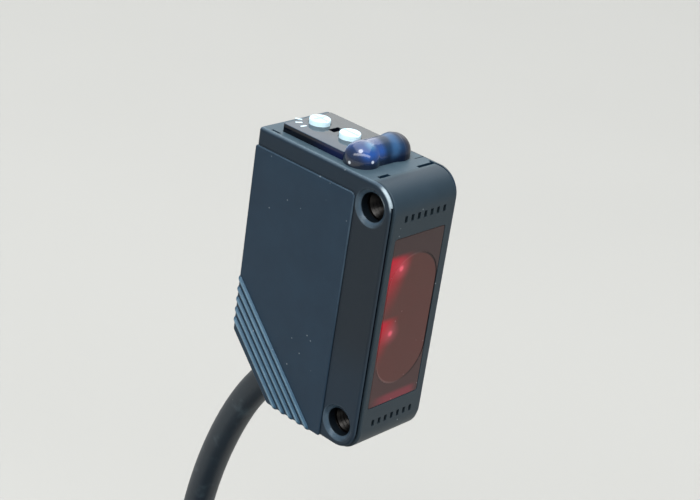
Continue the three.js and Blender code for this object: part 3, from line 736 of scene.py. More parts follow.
def revolve(name, outline, origin, axis, material, sides=64):
    """A turned solid: outline points are (radius, distance along axis)."""
    turn = Vector((0, 0, 1)).rotation_difference(axis).to_matrix()
    bm = bmesh.new()
    rings = []
    for radius, along in outline:
        if radius < 1e-9:
            rings.append([bm.verts.new(origin + axis * along)])
            continue
        ring = []
        for i in range(sides):
            a = 2 * math.pi * i / sides
            spoke = Vector((radius * math.cos(a), radius * math.sin(a), along))
            ring.append(bm.verts.new(origin + turn @ spoke))
        rings.append(ring)
    for one, two in zip(rings, rings[1:]):
        for i in range(sides):
            j = (i + 1) % sides
            if len(one) == 1 and len(two) == 1:
                break
            if len(one) == 1:
                bm.faces.new((one[0], two[j], two[i]))
            elif len(two) == 1:
                bm.faces.new((one[i], one[j], two[0]))
            else:
                bm.faces.new((one[i], one[j], two[j], two[i]))
    return from_bmesh(name, bm, material)


def tube(name, path, radius, material, sides=20):
    """A closed round tube through the path's points."""
    bm = bmesh.new()
    rings = []
    tangents = []
    for i in range(len(path)):
        tangents.append((path[min(i + 1, len(path) - 1)] - path[max(i - 1, 0)]).normalized())
    side = tangents[0].orthogonal().normalized()
    for i, point in enumerate(path):
        if i:
            side = tangents[i - 1].rotation_difference(tangents[i]) @ side
        side = (side - tangents[i] * side.dot(tangents[i])).normalized()
        across = tangents[i].cross(side)
        ring = []
        for k in range(sides):
            a = 2 * math.pi * k / sides
            ring.append(bm.verts.new(point + (side * math.cos(a) + across * math.sin(a)) * radius))
        rings.append(ring)
    for one, two in zip(rings, rings[1:]):
        for k in range(sides):
            j = (k + 1) % sides
            bm.faces.new((one[k], one[j], two[j], two[k]))
    bm.faces.new(rings[0][::-1])
    bm.faces.new(rings[-1])
    obj = from_bmesh(name, bm, material)
    for face in obj.data.polygons:
        face.use_smooth = len(face.vertices) == 4
    return obj


def through(points, spacing):
    """A smooth curve through given points, with points about spacing apart."""
    line = []
    ends = [points[0] * 2 - points[1], *points, points[-1] * 2 - points[-2]]
    for a, b, c, d in zip(ends, ends[1:], ends[2:], ends[3:]):
        count = max(2, math.ceil((c - b).length / spacing))
        for k in range(count):
            t = k / count
            bend = (a - b * 3 + c * 3 - d) * -t**3 + (a * 2 - b * 5 + c * 4 - d) * t**2 + (c - a) * t
            line.append(b + bend / 2)
    line.append(points[-1])
    return line


# ---- the cable ----
COIL_CENTRE = Vector(((coil_low.x + coil_high.x) / 2, (coil_low.y + coil_high.y) / 2, 0))
DIAMETER = 2 * CABLE_RADIUS
INNER_TURN = 15.65 * MM
BASE_LAYER = coil_low.z + CABLE_RADIUS
# What the cable does in each of its turns. It starts in the outermost place of the lowest layer.
WINDING = (
    ["in"], ["in"], ["in"], ["up inside"], ["out"], ["out"], ["out"],
    ["up outside", "in"], ["in"], ["in"], ["up inside"], ["out"], ["out"], ["out"],
)
# The stretch of a turn, in degrees, that each step takes.
SECTORS = {"up outside": (0, 50), "out": (50, 160), "up inside": (160, 250), "in": (250, 360)}
TURN_COUNT = 13.5
# Middle line of the hanging cable, as (y, z) in millimetres from the collar to the coil.
DROP_ROUTE = (
    (13.4, -13.6), (15.7, -16.3), (18.2, -20.0), (20.2, -24.0), (21.8, -28.1), (23.1, -32.3), (24.1, -36.6),
    (24.8, -40.9), (25.1, -45.3), (25.0, -49.6), (23.9, -53.9), (21.7, -57.7), (18.7, -60.9), (15.0, -63.3),
    (11.6, -64.4), (7.7, -64.85),
)
# Middle line from the coil's end to the leads, as (x, y, z) in millimetres.
TAIL_ROUTE = (
    (-58.9, 7.7, -53.75), (-58.9, 11.0, -54.2), (-58.2, 14.6, -55.9), (-56.2, 18.2, -58.5),
    (-53.2, 21.4, -61.0), (-49.3, 23.8, -63.1), (-45.2, 25.0, -64.4), (-41.0, 25.4, -64.85),
    (-36.5, 25.4, -64.85), (-32.0, 25.4, -64.85),
)


def coil_turns(per_turn=48):
    """The wound part: turns side by side and in layers, as WINDING lists them."""
    line = []
    for i in range(round(TURN_COUNT * per_turn) + 1):
        degrees = 360 * i / per_turn
        across, layer = 3, 0
        for turn, steps in enumerate(WINDING):
            for step in steps:
                start, end = SECTORS[step]
                share = min(max((degrees - 360 * turn - start) / (end - start), 0), 1)
                eased = (1 - math.cos(math.pi * share)) / 2
                across += {"in": -eased, "out": eased}.get(step, 0)
                layer += eased if step.startswith("up") else 0
        radius = INNER_TURN + DIAMETER * across
        height = BASE_LAYER + DIAMETER * layer
        angle = -math.radians(degrees)
        line.append(COIL_CENTRE + Vector((radius * math.cos(angle), radius * math.sin(angle), height)))
    return line


def cable_path():
    drop = [Vector((MID_X, y * MM, z * MM)) for y, z in DROP_ROUTE]
    tail = [Vector(p) * MM for p in TAIL_ROUTE]
    coil = coil_turns()
    spacing = 1.6 * MM
    start = CABLE_EXIT + CABLE_AXIS * 0.1 * MM
    return through([start, *drop, coil[0]], spacing)[:-1] + coil + through([coil[-1], *tail], spacing)[1:]


def free_lead(colour, offset):
    """One stripped core: insulated, with a short bare copper end."""
    low = coil_low.z + 0.55 * MM
    y = 25.4
    points = [
        Vector((-31.6, y + offset * 0.9, -64.85 + (0.7 if offset == 0 else -0.4))) * MM,
        Vector((-28.5, y + offset * 1.2, -65.5)) * MM,
        Vector((-24.5 * MM, (y + offset * 1.7) * MM, low + 0.1 * MM)),
        Vector((-19.0 * MM, (y + offset * 1.5) * MM, low)),
        Vector((-12.1 * MM, (y + offset * 1.75) * MM, low)),
    ]
    line = through(points, 0.7 * MM)
    bare = 7
    insulation = tube("lead_" + colour, line[:-bare], 0.54 * MM, LEAD_FINISH[colour], 16)
    stand_in(insulation, "housing", "lead_" + colour, "free_lead_" + colour)
    core = tube("copper_end_" + colour, line[-bare - 2 :], 0.34 * MM, COPPER, 12)
    stand_in(core, "housing", "tinned_steel")
    return [insulation, core]


def tie_band():
    """The band round the coil: a closed strap with a ratchet head on the outside."""
    width = tie_high.x - tie_low.x
    mid_x = (tie_low.x + tie_high.x) / 2
    thick = 0.4 * MM
    outer = rectangle(tie_low.y, tie_high.y, tie_low.z, tie_high.z, 1.4 * MM)
    levels = edge_levels(mid_x - width / 2, mid_x + width / 2, 0.12 * MM, 0.12 * MM, 3)
    strap = slab("coil_strap", outer, levels, "x", BLACK, 8)
    hole = rectangle(tie_low.y + thick, tie_high.y - thick, tie_low.z + thick, tie_high.z - thick, 1.1 * MM)
    reach = width
    inner = slab("strap_room", hole, [(0, mid_x - reach), (0, mid_x + reach)], "x", BLACK, 8)
    return crisp(carve(strap, inner))


cable_line = cable_path()
cable = tube("cable", cable_line, CABLE_RADIUS, JACKET, 20)
stand_in(cable, "housing", "cable_pvc", "cable_drop", "cable_coil", "cable_tail")
strap = stand_in(tie_band(), "housing", "black_plastic", "coil_tie")
lead_pieces = free_lead("brown", 1) + free_lead("blue", 0) + free_lead("black", -1)


# ---- housing ----
def side_corners(front, radius=CORNER_RADIUS):
    """The housing seen from the side, in (y, z), anticlockwise from the rear top."""
    return [
        (BACK, HALF_HEIGHT, 0.35 * MM),
        (front, HALF_HEIGHT, radius),
        (front, -HALF_HEIGHT, radius),
        (CUT_LINE - HALF_HEIGHT, -HALF_HEIGHT, 0.5 * MM),
        (BACK, BACK - CUT_LINE, 0.5 * MM),
    ]


def cover_corners():
    return [
        (BACK, cover_high.z, 0.3 * MM),
        (cover_low.y, cover_high.z, 0.6 * MM),
        (cover_low.y, -HALF_HEIGHT, 0.25 * MM),
        (CUT_LINE - HALF_HEIGHT, -HALF_HEIGHT, 0.5 * MM),
        (BACK, BACK - CUT_LINE, 0.5 * MM),
    ]


def block(name, xs, ys, zs, radius=0.05 * MM):
    """A plain cutter box, corners given in millimetres."""
    corners = rectangle(xs[0] * MM, xs[1] * MM, ys[0] * MM, ys[1] * MM, radius)
    return slab(name, corners, [(0, zs[0] * MM), (0, zs[1] * MM)], "z", CASE, 2)


def bore_cutter(z):
    """An M3 clearance hole with a cone at its mouth, then the seat of its threaded insert."""
    radius, mouth = 1.6 * MM, 2.05 * MM
    seat = 1.75 * MM
    cone = 0.3 * MM
    outline = [(0, NEAR - 1 * MM), (mouth + 0.05 * MM, NEAR - 1 * MM), (mouth + 0.05 * MM, NEAR)]
    outline += [(mouth, NEAR + 0.03 * MM), (radius + 0.04 * MM, NEAR + cone)]
    outline += [(radius, NEAR + cone + 0.05 * MM), (radius, insert_low.x), (seat, insert_low.x)]
    outline += [(seat, 1 * MM), (0, 1 * MM)]
    return revolve("bore", outline, Vector((0, 0, z)), Vector((1, 0, 0)), CASE, 72)


def rod(name, centre, axis, radius, low, high, sides=48):
    return revolve(name, [(0, low), (radius, low), (radius, high), (0, high)], centre, axis, CASE, sides)


def housing_shell():
    levels = edge_levels(NEAR, 0, 0.45 * MM, 0.2 * MM, 7)
    shell = slab("case_shell", side_corners(LIP_FRONT), levels, "x", CASE, 12)
    gap = 0.03 * MM
    recess_corners = [
        (BACK + 2 * MM, cover_high.z + gap, 0.05 * MM),
        (cover_low.y - gap, cover_high.z + gap, 0.65 * MM),
        (cover_low.y - gap, -HALF_HEIGHT - 2 * MM, 0.05 * MM),
        (BACK + 2 * MM, -HALF_HEIGHT - 2 * MM, 0.05 * MM),
    ]
    recess = flared("cover_recess", recess_corners, "x", cover_high.x + 0.02 * MM, NEAR, 0.05 * MM, -1)
    pocket_high = bezel_high.x + 0.15 * MM
    pockets = [
        bezel_pocket(bezel_low.x - 0.03 * MM, pocket_high, 20 * MM),
        bezel_pocket(bezel_low.x - 0.3 * MM, pocket_high - 1 * MM, 13.6 * MM),
    ]
    cap_xs = (PLATE_X[0] - gap, PLATE_X[1] + gap)
    cap_corners = rectangle(*cap_xs, DOME_Y - gap, cap_high.y + gap, 0.2 * MM)
    cap_pocket = flared("cap_pocket", cap_corners, "z", cap_low.z - 0.1 * MM, HALF_HEIGHT, 0.06 * MM, 1)
    wall = 1.1 * MM
    ledge = 0.7 * MM  # what the cover rests on
    inset = [(ledge, NEAR - 1 * MM), (ledge, cover_high.x + ledge)]
    inset += [(0, cover_high.x + 2 * ledge), (0, -1.0 * MM)]
    room = slab("room", inner_corners(wall, cover_low.y + 0.3 * MM), inset, "x", CASE, 6)
    optics = slab(
        "optics_room",
        rectangle(-9.35 * MM, -1.0 * MM, -9.6 * MM, 9.6 * MM, 0.4 * MM),
        [(0, FRONT - 1 * MM), (0, 4 * MM)],
        "y",
        CASE,
        3,
    )
    up = Vector((0, 0, 1))
    holes = [rod("knob_hole", Vector((MID_X, y, 0)), up, 1.4 * MM, 13 * MM, 17 * MM) for y in DIAL_Y.values()]
    for side in (-1, 1):
        centre = Vector((MID_X + side * DOME_HALF_PITCH, DOME_Y, 0))
        holes.append(rod("light_hole", centre, up, 0.95 * MM, 13 * MM, 17 * MM))
    holes += [bore_cutter(HOLE_HEIGHT), bore_cutter(-HOLE_HEIGHT)]
    holes.append(rod("cable_hole", CABLE_EXIT, CABLE_AXIS, 2.75 * MM, -3 * MM, 2 * MM))
    slots = [
        block("slot_near", (-9.1, -7.45), (0.3, 0.95), (15.0, 17)),
        block("slot_far", (-3.05, -0.37), (0.3, 0.92), (15.0, 17)),
        block("slot_far_return", (-0.7, -0.37), (0.5, 1.3), (15.0, 17)),
        block("ledge_slot", (-9.98, -9.68), (14.35, 15.6), (15.2, 17)),
        block("ledge_seam", (-1.6, -0.15), (2.34, 2.46), (15.3, 17), 0.01 * MM),
    ]
    return crisp(carve(shell, recess, *pockets, cap_pocket, room, optics, *holes, *slots))


def bezel_pocket(low, high, top):
    """Room for the bezel round the front of the housing's core, between two x planes and up to a height."""
    wrap = bezel_high.y + 0.01 * MM
    corners = rectangle(FRONT - 3 * MM, wrap, -20 * MM, top, 0.02 * MM)
    pocket = slab("bezel_pocket", corners, [(0, low), (0, high)], "x", CASE, 2)
    depth = 0.7 * MM
    core = slab("bezel_core", core_corners(depth), [(0, low - 1 * MM), (0, high + 1 * MM)], "x", CASE, 12)
    return carve(pocket, core)


def core_corners(depth):
    """The housing core that the bezel wraps round."""
    radius = CORNER_RADIUS - depth
    return [
        (BACK + 5 * MM, HALF_HEIGHT - depth, 0.05 * MM),
        (FRONT + depth, HALF_HEIGHT - depth, radius),
        (FRONT + depth, -HALF_HEIGHT + depth, radius),
        (BACK + 5 * MM, -HALF_HEIGHT + depth, 0.05 * MM),
    ]


def inner_corners(wall, front):
    cut = CUT_LINE - wall * math.sqrt(2)
    top = 13.6 * MM
    low = -HALF_HEIGHT + wall
    back = BACK - wall
    return [
        (back, top, 0.4 * MM),
        (front, top, 0.6 * MM),
        (front, low, 0.6 * MM),
        (cut + low, low, 0.3 * MM),
        (back, back - cut, 0.3 * MM),
    ]


def side_panel():
    """The cover on the near side, with a fine rounded rim."""
    levels = edge_levels(NEAR - 0.15 * MM, cover_high.x, 0.14 * MM, 0.05 * MM, 4)
    return crisp(slab("side_panel", cover_corners(), levels, "x", CASE, 8))


stand_in(housing_shell(), "housing", "case_plastic", "case_body")
stand_in(side_panel(), "housing", "case_plastic", "side_cover")


# ---- geometry node pieces ----
class Growth(Plan):
    """A geometry node tree with named sizes, baked into a plain mesh."""

    def __init__(self, name, sizes):
        tree = bpy.data.node_groups.new(name, "GeometryNodeTree")
        super().__init__(tree)
        self.sizes = sizes
        tree.interface.new_socket("Geometry", in_out="INPUT", socket_type="NodeSocketGeometry")
        tree.interface.new_socket("Geometry", in_out="OUTPUT", socket_type="NodeSocketGeometry")
        for label, value in sizes.items():
            kind = "NodeSocketInt" if isinstance(value, int) else "NodeSocketFloat"
            tree.interface.new_socket(label, in_out="INPUT", socket_type=kind)
        entry = tree.nodes.new("NodeGroupInput")
        self.base = Wire(self, entry.outputs["Geometry"])
        self.size = {label: Wire(self, entry.outputs[label]) for label in sizes}

    def point(self, x, y, z):
        return self.node("ShaderNodeCombineXYZ", {}, {0: x, 1: y, 2: z})

    def grow(self, geometry, obj, material):
        """Ends the tree in real geometry with a finish, and bakes it on the object."""
        real = self.node("GeometryNodeRealizeInstances", {}, {0: geometry})
        done = self.node("GeometryNodeSetMaterial", {}, {"Geometry": real, "Material": material})
        self.node("NodeGroupOutput", {}, {0: done})
        modifier = obj.modifiers.new("growth", "NODES")
        modifier.node_group = self.tree
        for item in self.tree.interface.items_tree:
            if item.in_out == "INPUT" and item.name in self.sizes:
                modifier[item.identifier] = self.sizes[item.name]
        return bake(obj)


def seed_object(name, material):
    """An object with no faces, for a tree that makes all of its own geometry."""
    return to_object(name, bpy.data.meshes.new(name), material)


def grip_ribs():
    """Half-round ribs that cross the panel by the cut corner and turn under it and behind it."""
    sizes = {
        "Ribs": 5,
        "Pitch": 1.28 * MM,
        "First": 19.5 * MM,
        "Radius": 0.29 * MM,
        "Sink": 0.07 * MM,
        "Near": NEAR - 0.15 * MM,
        "Far": -0.35 * MM,
        "Bottom": -HALF_HEIGHT,
        "Back": BACK,
    }
    g = Growth("grip_ribs", sizes)
    s = g.size
    line = g.node("GeometryNodeMeshLine", {}, {"Count": 4})
    curve = g.node("GeometryNodeMeshToCurve", {}, {0: line})
    amount = {"Geometry": curve, "Amount": s["Ribs"]}
    copies = g.node("GeometryNodeDuplicateElements", {"domain": "SPLINE"}, amount)
    index = g.node("GeometryNodeInputIndex")
    number = (index / 4 + 0.01).floor()
    corner = index - number * 4
    reach = s["First"] + number * s["Pitch"]
    is_near = (corner - 1.5).size() < 1
    is_low = corner < 1.5
    x = s["Far"] + (s["Near"] + s["Sink"] - s["Far"]) * is_near
    low_y = s["Bottom"] + reach
    y = s["Back"] - s["Sink"] + (low_y - s["Back"] + s["Sink"]) * is_low
    back_z = s["Back"] - reach
    z = back_z + (s["Bottom"] + s["Sink"] - back_z) * is_low
    routed = g.node("GeometryNodeSetPosition", {}, {"Geometry": copies, "Position": g.point(x, y, z)})
    filleted = g.node(
        "GeometryNodeFilletCurve", {"mode": "POLY"}, {"Curve": routed, "Count": 4, "Radius": 0.3 * MM}
    )
    section = g.node("GeometryNodeCurvePrimitiveCircle", {}, {"Resolution": 14, "Radius": s["Radius"]})
    ribs = g.node("GeometryNodeCurveToMesh", {}, {0: filleted, "Profile Curve": section, "Fill Caps": True})
    return g.grow(ribs, seed_object("grip_ribs", RIB), RIB)


def front_frame():
    """The grey front frame: wraps both front corners, with the window opening and two rows of notches."""
    thick = 0.5 * MM
    rear = bezel_high.y
    corners = [
        (rear, HALF_HEIGHT, 0.02 * MM),
        (FRONT, HALF_HEIGHT, CORNER_RADIUS),
        (FRONT, -HALF_HEIGHT, CORNER_RADIUS),
        (rear, -HALF_HEIGHT, 0.02 * MM),
        (rear, -HALF_HEIGHT + thick, 0.05 * MM),
        (FRONT + thick, -HALF_HEIGHT + thick, CORNER_RADIUS - thick),
        (FRONT + thick, HALF_HEIGHT - thick, CORNER_RADIUS - thick),
        (rear, HALF_HEIGHT - thick, 0.05 * MM),
    ]
    levels = edge_levels(bezel_low.x, bezel_high.x, 0.14 * MM, 0.14 * MM, 4)
    frame_piece = slab("front_frame", corners, levels, "x", BEZEL, 14)
    gap = 0.04 * MM
    opening = flared(
        "window_opening",
        rectangle(window_low.x - gap, window_high.x + gap, window_low.z - gap, window_high.z + gap, 0.3 * MM),
        "y",
        FRONT + 2 * MM,
        FRONT,
        0.05 * MM,
        -1,
    )
    carve(frame_piece, opening)
    sizes = {
        "Notches": 7,
        "Pitch": 1.0 * MM,
        "First x": -8.15 * MM,
        "Upper z": 12.1 * MM,
        "Lower z": -12.0 * MM,
        "Width": 0.42 * MM,
        "Height": 0.75 * MM,
        "Depth": 0.35 * MM,
        "Front": FRONT,
    }
    g = Growth("front_notches", sizes)
    s = g.size
    cube = g.node("GeometryNodeMeshCube", {}, {"Size": g.point(s["Width"], s["Depth"] * 2, s["Height"])})
    rows = []
    for row in ("Upper z", "Lower z"):
        start = g.point(s["First x"], s["Front"], s[row])
        line = g.node(
            "GeometryNodeMeshLine",
            {"mode": "OFFSET"},
            {"Count": s["Notches"], "Start Location": start, "Offset": g.point(s["Pitch"], 0.0, 0.0)},
        )
        rows.append(g.node("GeometryNodeInstanceOnPoints", {}, {"Points": line, "Instance": cube}))
    cut = g.tree.nodes.new("GeometryNodeMeshBoolean")
    cut.operation = "DIFFERENCE"
    g.feed(cut.inputs["Mesh 1"], g.base)
    for row in rows:
        real = g.node("GeometryNodeRealizeInstances", {}, {0: row})
        g.tree.links.new(real.socket, cut.inputs["Mesh 2"])
    notched = g.grow(Wire(g, cut.outputs["Mesh"]), frame_piece, BEZEL)
    return crisp(notched)


def insert_thread(name, z):
    """A threaded brass bush: a sleeve with the ridges of an M3 thread in its bore."""
    low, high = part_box(name.replace("thread", "threaded_insert"))
    outer = 1.68 * MM
    minor, major = 1.27 * MM, 1.5 * MM
    lead = 0.2 * MM
    outline = [(major, low.x + lead), (outer - 0.05 * MM, low.x), (outer, low.x + 0.05 * MM), (outer, high.x)]
    outline += [(major, high.x), (major, low.x + lead)]
    sleeve = revolve(name, outline, Vector((0, 0, z)), Vector((1, 0, 0)), BRASS, 48)
    pitch = 0.5 * MM
    sizes = {
        "Ridges": int((high.x - low.x) / pitch) - 1,
        "Pitch": pitch,
        "Start": low.x + lead + pitch / 2,
        "Radius": major,
        "Height": major - minor,
        "Centre z": z,
    }
    g = Growth(name + "_ridges", sizes)
    s = g.size
    hoop = g.node("GeometryNodeCurvePrimitiveCircle", {}, {"Resolution": 48, "Radius": s["Radius"]})
    section = g.node("GeometryNodeCurvePrimitiveCircle", {}, {"Resolution": 4, "Radius": s["Height"]})
    ridge = g.node("GeometryNodeCurveToMesh", {}, {0: hoop, "Profile Curve": section})
    line = g.node(
        "GeometryNodeMeshLine",
        {"mode": "OFFSET"},
        {
            "Count": s["Ridges"],
            "Start Location": g.point(s["Start"], 0.0, s["Centre z"]),
            "Offset": g.point(s["Pitch"], 0.0, 0.0),
        },
    )
    turned = g.node(
        "GeometryNodeInstanceOnPoints",
        {},
        {"Points": line, "Instance": ridge, "Rotation": (0, math.pi / 2, 0)},
    )
    both = g.tree.nodes.new("GeometryNodeJoinGeometry")
    g.tree.links.new(g.base.socket, both.inputs[0])
    g.tree.links.new(turned.socket, both.inputs[0])
    return crisp(g.grow(Wire(g, both.outputs[0]), sleeve, BRASS))


stand_in(grip_ribs(), "housing", "case_plastic")
stand_in(front_frame(), "housing", "bezel_plastic", "front_bezel")
for level, height in (("upper", HOLE_HEIGHT), ("lower", -HOLE_HEIGHT)):
    thread = insert_thread(level + "_thread", height)
    stand_in(thread, "housing", "brass", level + "_threaded_insert")


# ---- window ----
def oval_corners(radius):
    """A flat-sided oval in (x, z) about the two lenses."""
    half = 7.8 * MM
    return rectangle(MID_X - radius, MID_X + radius, -half, half, radius - 0.01 * MM)


def window_pane():
    """The red window: a flat pane with a fine engraved line round the lens area."""
    corners = rectangle(window_low.x, window_high.x, window_low.z, window_high.z, 0.28 * MM)
    levels = edge_levels(window_low.y, window_high.y, 0.06 * MM, 0.04 * MM, 3)
    pane = slab("window_pane", corners, levels, "y", WINDOW, 6)
    line_width, depth = 0.12 * MM, 0.1 * MM
    outer = 3.86 * MM
    band = [(0, window_low.y - 1 * MM), (0, window_low.y + depth)]
    ring = slab("line_outer", oval_corners(outer), band, "y", WINDOW, 20)
    hole = [(0, window_low.y - 2 * MM), (0, window_low.y + depth + 1 * MM)]
    carve(ring, slab("line_inner", oval_corners(outer - line_width), hole, "y", WINDOW, 20))
    return crisp(carve(pane, ring))


stand_in(window_pane(), "housing", "red_window", "front_window")


# ---- indicator cap ----
def dome_reach(along, saddle):
    """Reach of the dome from its middle line: two round lobes and the saddle that joins them."""
    past = abs(along) - DOME_HALF_PITCH
    lobe = math.sqrt(max(DOME_RADIUS**2 - past**2, 0))
    if past > 0:
        return lobe
    blend = (0.12 if along < 0 else 0.6) * MM
    return max(lobe, saddle) + blend * max(0, 1 - abs(lobe - saddle) / blend) ** 2 / 8


def cap_plate():
    """The clear cap's flat part, with wells for the two dials and a key slot between them."""
    corners = rectangle(*PLATE_X, DOME_Y, cap_high.y, 0.2 * MM)
    levels = edge_levels(cap_low.z, CAP_TOP, 0.05 * MM, 0.09 * MM, 4)
    plate = slab("cap_plate", corners, levels, "z", PLATE, 6)
    up = Vector((0, 0, 1))
    wells = []
    for y in DIAL_Y.values():
        wells.append(rod("dial_well", Vector((MID_X, y, 0)), up, 1.26 * MM, 15 * MM, 17 * MM, 64))
    wells.append(block("key_slot", (-5.95, -4.4), (10.3, 11.2), (15.7, 17), 0.08 * MM))
    return crisp(carve(plate, *wells))


def twin_dome():
    """The two-lobed indicator dome on its short upright skirt."""
    reach = DOME_HALF_PITCH + DOME_RADIUS
    foot = HALF_HEIGHT + 0.01 * MM
    across_steps, along_steps = 80, 160
    bm = bmesh.new()
    rows = []
    for i in range(1, along_steps):
        along = -reach * math.cos(math.pi * i / along_steps)
        wide, high = dome_reach(along, DOME_WAIST), dome_reach(along, DOME_SADDLE)
        row = [bm.verts.new((MID_X + along, DOME_Y - wide, foot))]
        for k in range(across_steps + 1):
            a = math.pi * k / across_steps
            place = (MID_X + along, DOME_Y - wide * math.cos(a), DOME_BASE + high * math.sin(a))
            row.append(bm.verts.new(place))
        row.append(bm.verts.new((MID_X + along, DOME_Y + wide, foot)))
        rows.append(row)
    for one, two in zip(rows, rows[1:]):
        for k in range(len(one) - 1):
            bm.faces.new((one[k], one[k + 1], two[k + 1], two[k]))
    for row, side in ((rows[0], -1), (rows[-1], 1)):
        tip = bm.verts.new((MID_X + side * reach, DOME_Y, DOME_BASE))
        low = bm.verts.new((MID_X + side * reach, DOME_Y, foot))
        for k in range(1, len(row) - 2):
            bm.faces.new((row[k], row[k + 1], tip))
        bm.faces.new((row[0], row[1], tip, low))
        bm.faces.new((row[-1], row[-2], tip, low))
    bmesh.ops.holes_fill(bm, edges=bm.edges, sides=0)
    return crisp(from_bmesh("twin_dome", bm, DOME), 60)


def dial(node, slots):
    """A white trimmer dial with a rounded rim, a driver slot or cross and a pointer nick."""
    y = DIAL_Y[node]
    centre = Vector((MID_X, y, 0))
    up = Vector((0, 0, 1))
    radius = 1.17 * MM
    top = dial_top
    rim = 0.16 * MM
    outline = [(0, 12.95 * MM), (0.7 * MM, 12.95 * MM), (0.7 * MM, 15.35 * MM), (radius, 15.35 * MM)]
    for k in range(6):
        a = math.pi / 2 * k / 5
        outline.append((radius - rim * (1 - math.cos(a)), top - rim * (1 - math.sin(a))))
    outline.append((0, top))
    name = node.replace("knob", "dial")
    body = revolve(name, outline, centre, up, WHITE, 72)
    half, deep = 0.95, 16.55
    x, y = MID_X / MM, y / MM
    cuts = [block("slot", (x - 0.2, x + 0.2), (y - half, y + half), (deep, 18), 0.08 * MM)]
    if slots > 1:
        cuts.append(block("cross", (x - half, x + half), (y - 0.2, y + 0.2), (deep, 18), 0.08 * MM))
    cuts.append(block("pointer", (x - 0.22, x + 0.22), (y - 1.4, y - 0.86), (16.82, 18), 0.04 * MM))
    return crisp(carve(body, *cuts))


def scale_marks():
    """A raised white scale: short ticks on the outer side of the sensitivity dial."""
    sizes = {
        "Ticks": 3,
        "Sweep": math.radians(54),
        "First": math.radians(122),
        "Radius": 2.3 * MM,
        "Height": CAP_TOP,
        "Length": 0.75 * MM,
        "Width": 0.26 * MM,
        "Rise": 0.03 * MM,
    }
    g = Growth("scale_marks", sizes)
    s = g.size
    index = g.node("GeometryNodeInputIndex")
    angle = s["First"] + s["Sweep"] * index / (s["Ticks"] - 1)
    cosine = g.node("ShaderNodeMath", {"operation": "COSINE"}, {0: angle})
    sine = g.node("ShaderNodeMath", {"operation": "SINE"}, {0: angle})
    line = g.node("GeometryNodeMeshLine", {}, {"Count": s["Ticks"]})
    x = cosine * s["Radius"] + MID_X
    y = sine * s["Radius"] + DIAL_Y["sensitivity_knob"]
    placed = g.node("GeometryNodeSetPosition", {}, {"Geometry": line, "Position": g.point(x, y, s["Height"])})
    tick = g.node("GeometryNodeMeshCube", {}, {"Size": g.point(s["Length"], s["Width"], s["Rise"])})
    ticks = g.node(
        "GeometryNodeInstanceOnPoints",
        {},
        {"Points": placed, "Instance": tick, "Rotation": g.point(0.0, 0.0, angle)},
    )
    return g.grow(ticks, seed_object("scale_marks", WHITE), WHITE)


plate = stand_in(cap_plate(), "housing", "smoke_cap", "indicator_cap")
stand_in(twin_dome(), "housing", "smoke_cap")
stand_in(dial("sensitivity_knob", 2), "adjuster", "white_plastic", "sensitivity_knob")
stand_in(dial("selector_knob", 1), "selector", "white_plastic", "selector_knob")
stand_in(scale_marks(), "housing", "white_plastic")


# ---- cable entry ----
def cable_collar():
    """The rubber bush that the cable comes out of, with a soft rounded lip."""
    bore = CABLE_RADIUS + 0.06 * MM
    outer = 2.6 * MM
    lip = 0.3 * MM
    top = 0.4 * MM
    outline = [(bore, -1.9 * MM), (outer, -1.9 * MM), (outer, top - lip)]
    for k in range(1, 6):
        a = math.pi / 2 * k / 5
        outline.append((outer - lip * (1 - math.cos(a)), top - lip * (1 - math.sin(a))))
    outline += [(bore + 0.12 * MM, top), (bore, top - 0.12 * MM), (bore, -1.9 * MM)]
    return crisp(revolve("cable_collar", outline, CABLE_EXIT, CABLE_AXIS, RUBBER, 64))


stand_in(cable_collar(), "housing", "rubber", "cable_bush")

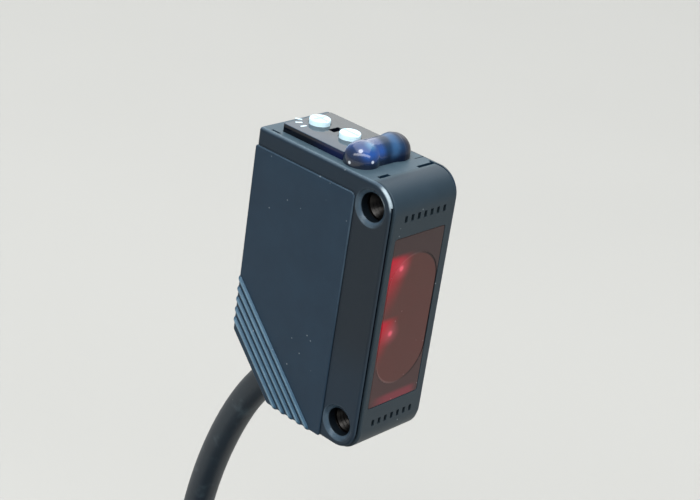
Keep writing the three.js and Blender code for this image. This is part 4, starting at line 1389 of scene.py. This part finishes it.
# ---- CAD nodes that keep their own shape ----
NODE_FINISH = {
    "twin_lens": LENS,
    "lens_holder": BLACK,
    "emitter_led": EMITTER,
    "receiver_photodiode": CHIP,
    "receiver_shield_can": STEEL,
    "main_board": BOARD,
    "indicator_board": BOARD,
    "board_link": BLACK,
    "signal_chip": CHIP,
    "output_transistor": CHIP,
    "input_capacitor": CERAMIC,
    "surge_diode": CHIP,
    "adjuster_body": BLACK,
    "selector_body": BLACK,
    "adjuster_seal": RUBBER,
    "selector_seal": RUBBER,
    "stability_led": GREEN_CLEAR,
    "operation_led": ORANGE_CLEAR,
    "stability_light_guide": GREEN_CLEAR,
    "operation_light_guide": ORANGE_CLEAR,
    "cable_stub": JACKET,
    "crimp_ring": STEEL,
    "inner_lead_brown": LEAD_FINISH["brown"],
    "inner_lead_blue": LEAD_FINISH["blue"],
    "inner_lead_black": LEAD_FINISH["black"],
}
for node, material in NODE_FINISH.items():
    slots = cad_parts[node].data.materials
    slots.clear()
    slots.append(material)


# ---- studio ----
def add_floor():
    bm = bmesh.new()
    half = 4.0
    signs = ((-1, -1), (1, -1), (1, 1), (-1, 1))
    bm.faces.new([bm.verts.new((x * half, y * half, FLOOR_HEIGHT)) for x, y in signs])
    floor = from_bmesh("floor", bm, pale_floor())


def add_light(name, direction, distance, size, watts, shape="RECTANGLE"):
    """A soft light that faces the sensor from a direction given as (azimuth, elevation) in degrees."""
    back = toward(*direction)
    data = bpy.data.lights.new(name, "AREA")
    data.shape = shape
    data.size, data.size_y = size
    data.energy = watts
    light = bpy.data.objects.new(name, data)
    light.rotation_mode = "QUATERNION"
    light.location = Vector((MID_X, 7 * MM, 0)) + back * distance
    light.rotation_quaternion = (-back).to_track_quat("-Z", "Y")
    scene.collection.objects.link(light)


def add_studio():
    world = bpy.data.worlds.new("studio")
    world.use_nodes = True
    background = world.node_tree.nodes["Background"]
    background.inputs["Color"].default_value = (0.93, 0.97, 1.0, 1)
    background.inputs["Strength"].default_value = 0.36
    scene.world = world
    add_floor()
    add_light("top_softbox", (140, 80), 1.6, (2.8, 2.8), 39.5)
    add_light("rear_softbox", (130, 24), 1.2, (1.6, 0.6), 4.6)
    add_light("key_lamp", (-72, 63), 1.0, (0.44, 0.44), 5.8, "DISK")
    add_light("front_strip", (-50, 43), 1.0, (2.6, 0.28), 11.5)


add_studio()
scene.view_settings.view_transform = "Standard"
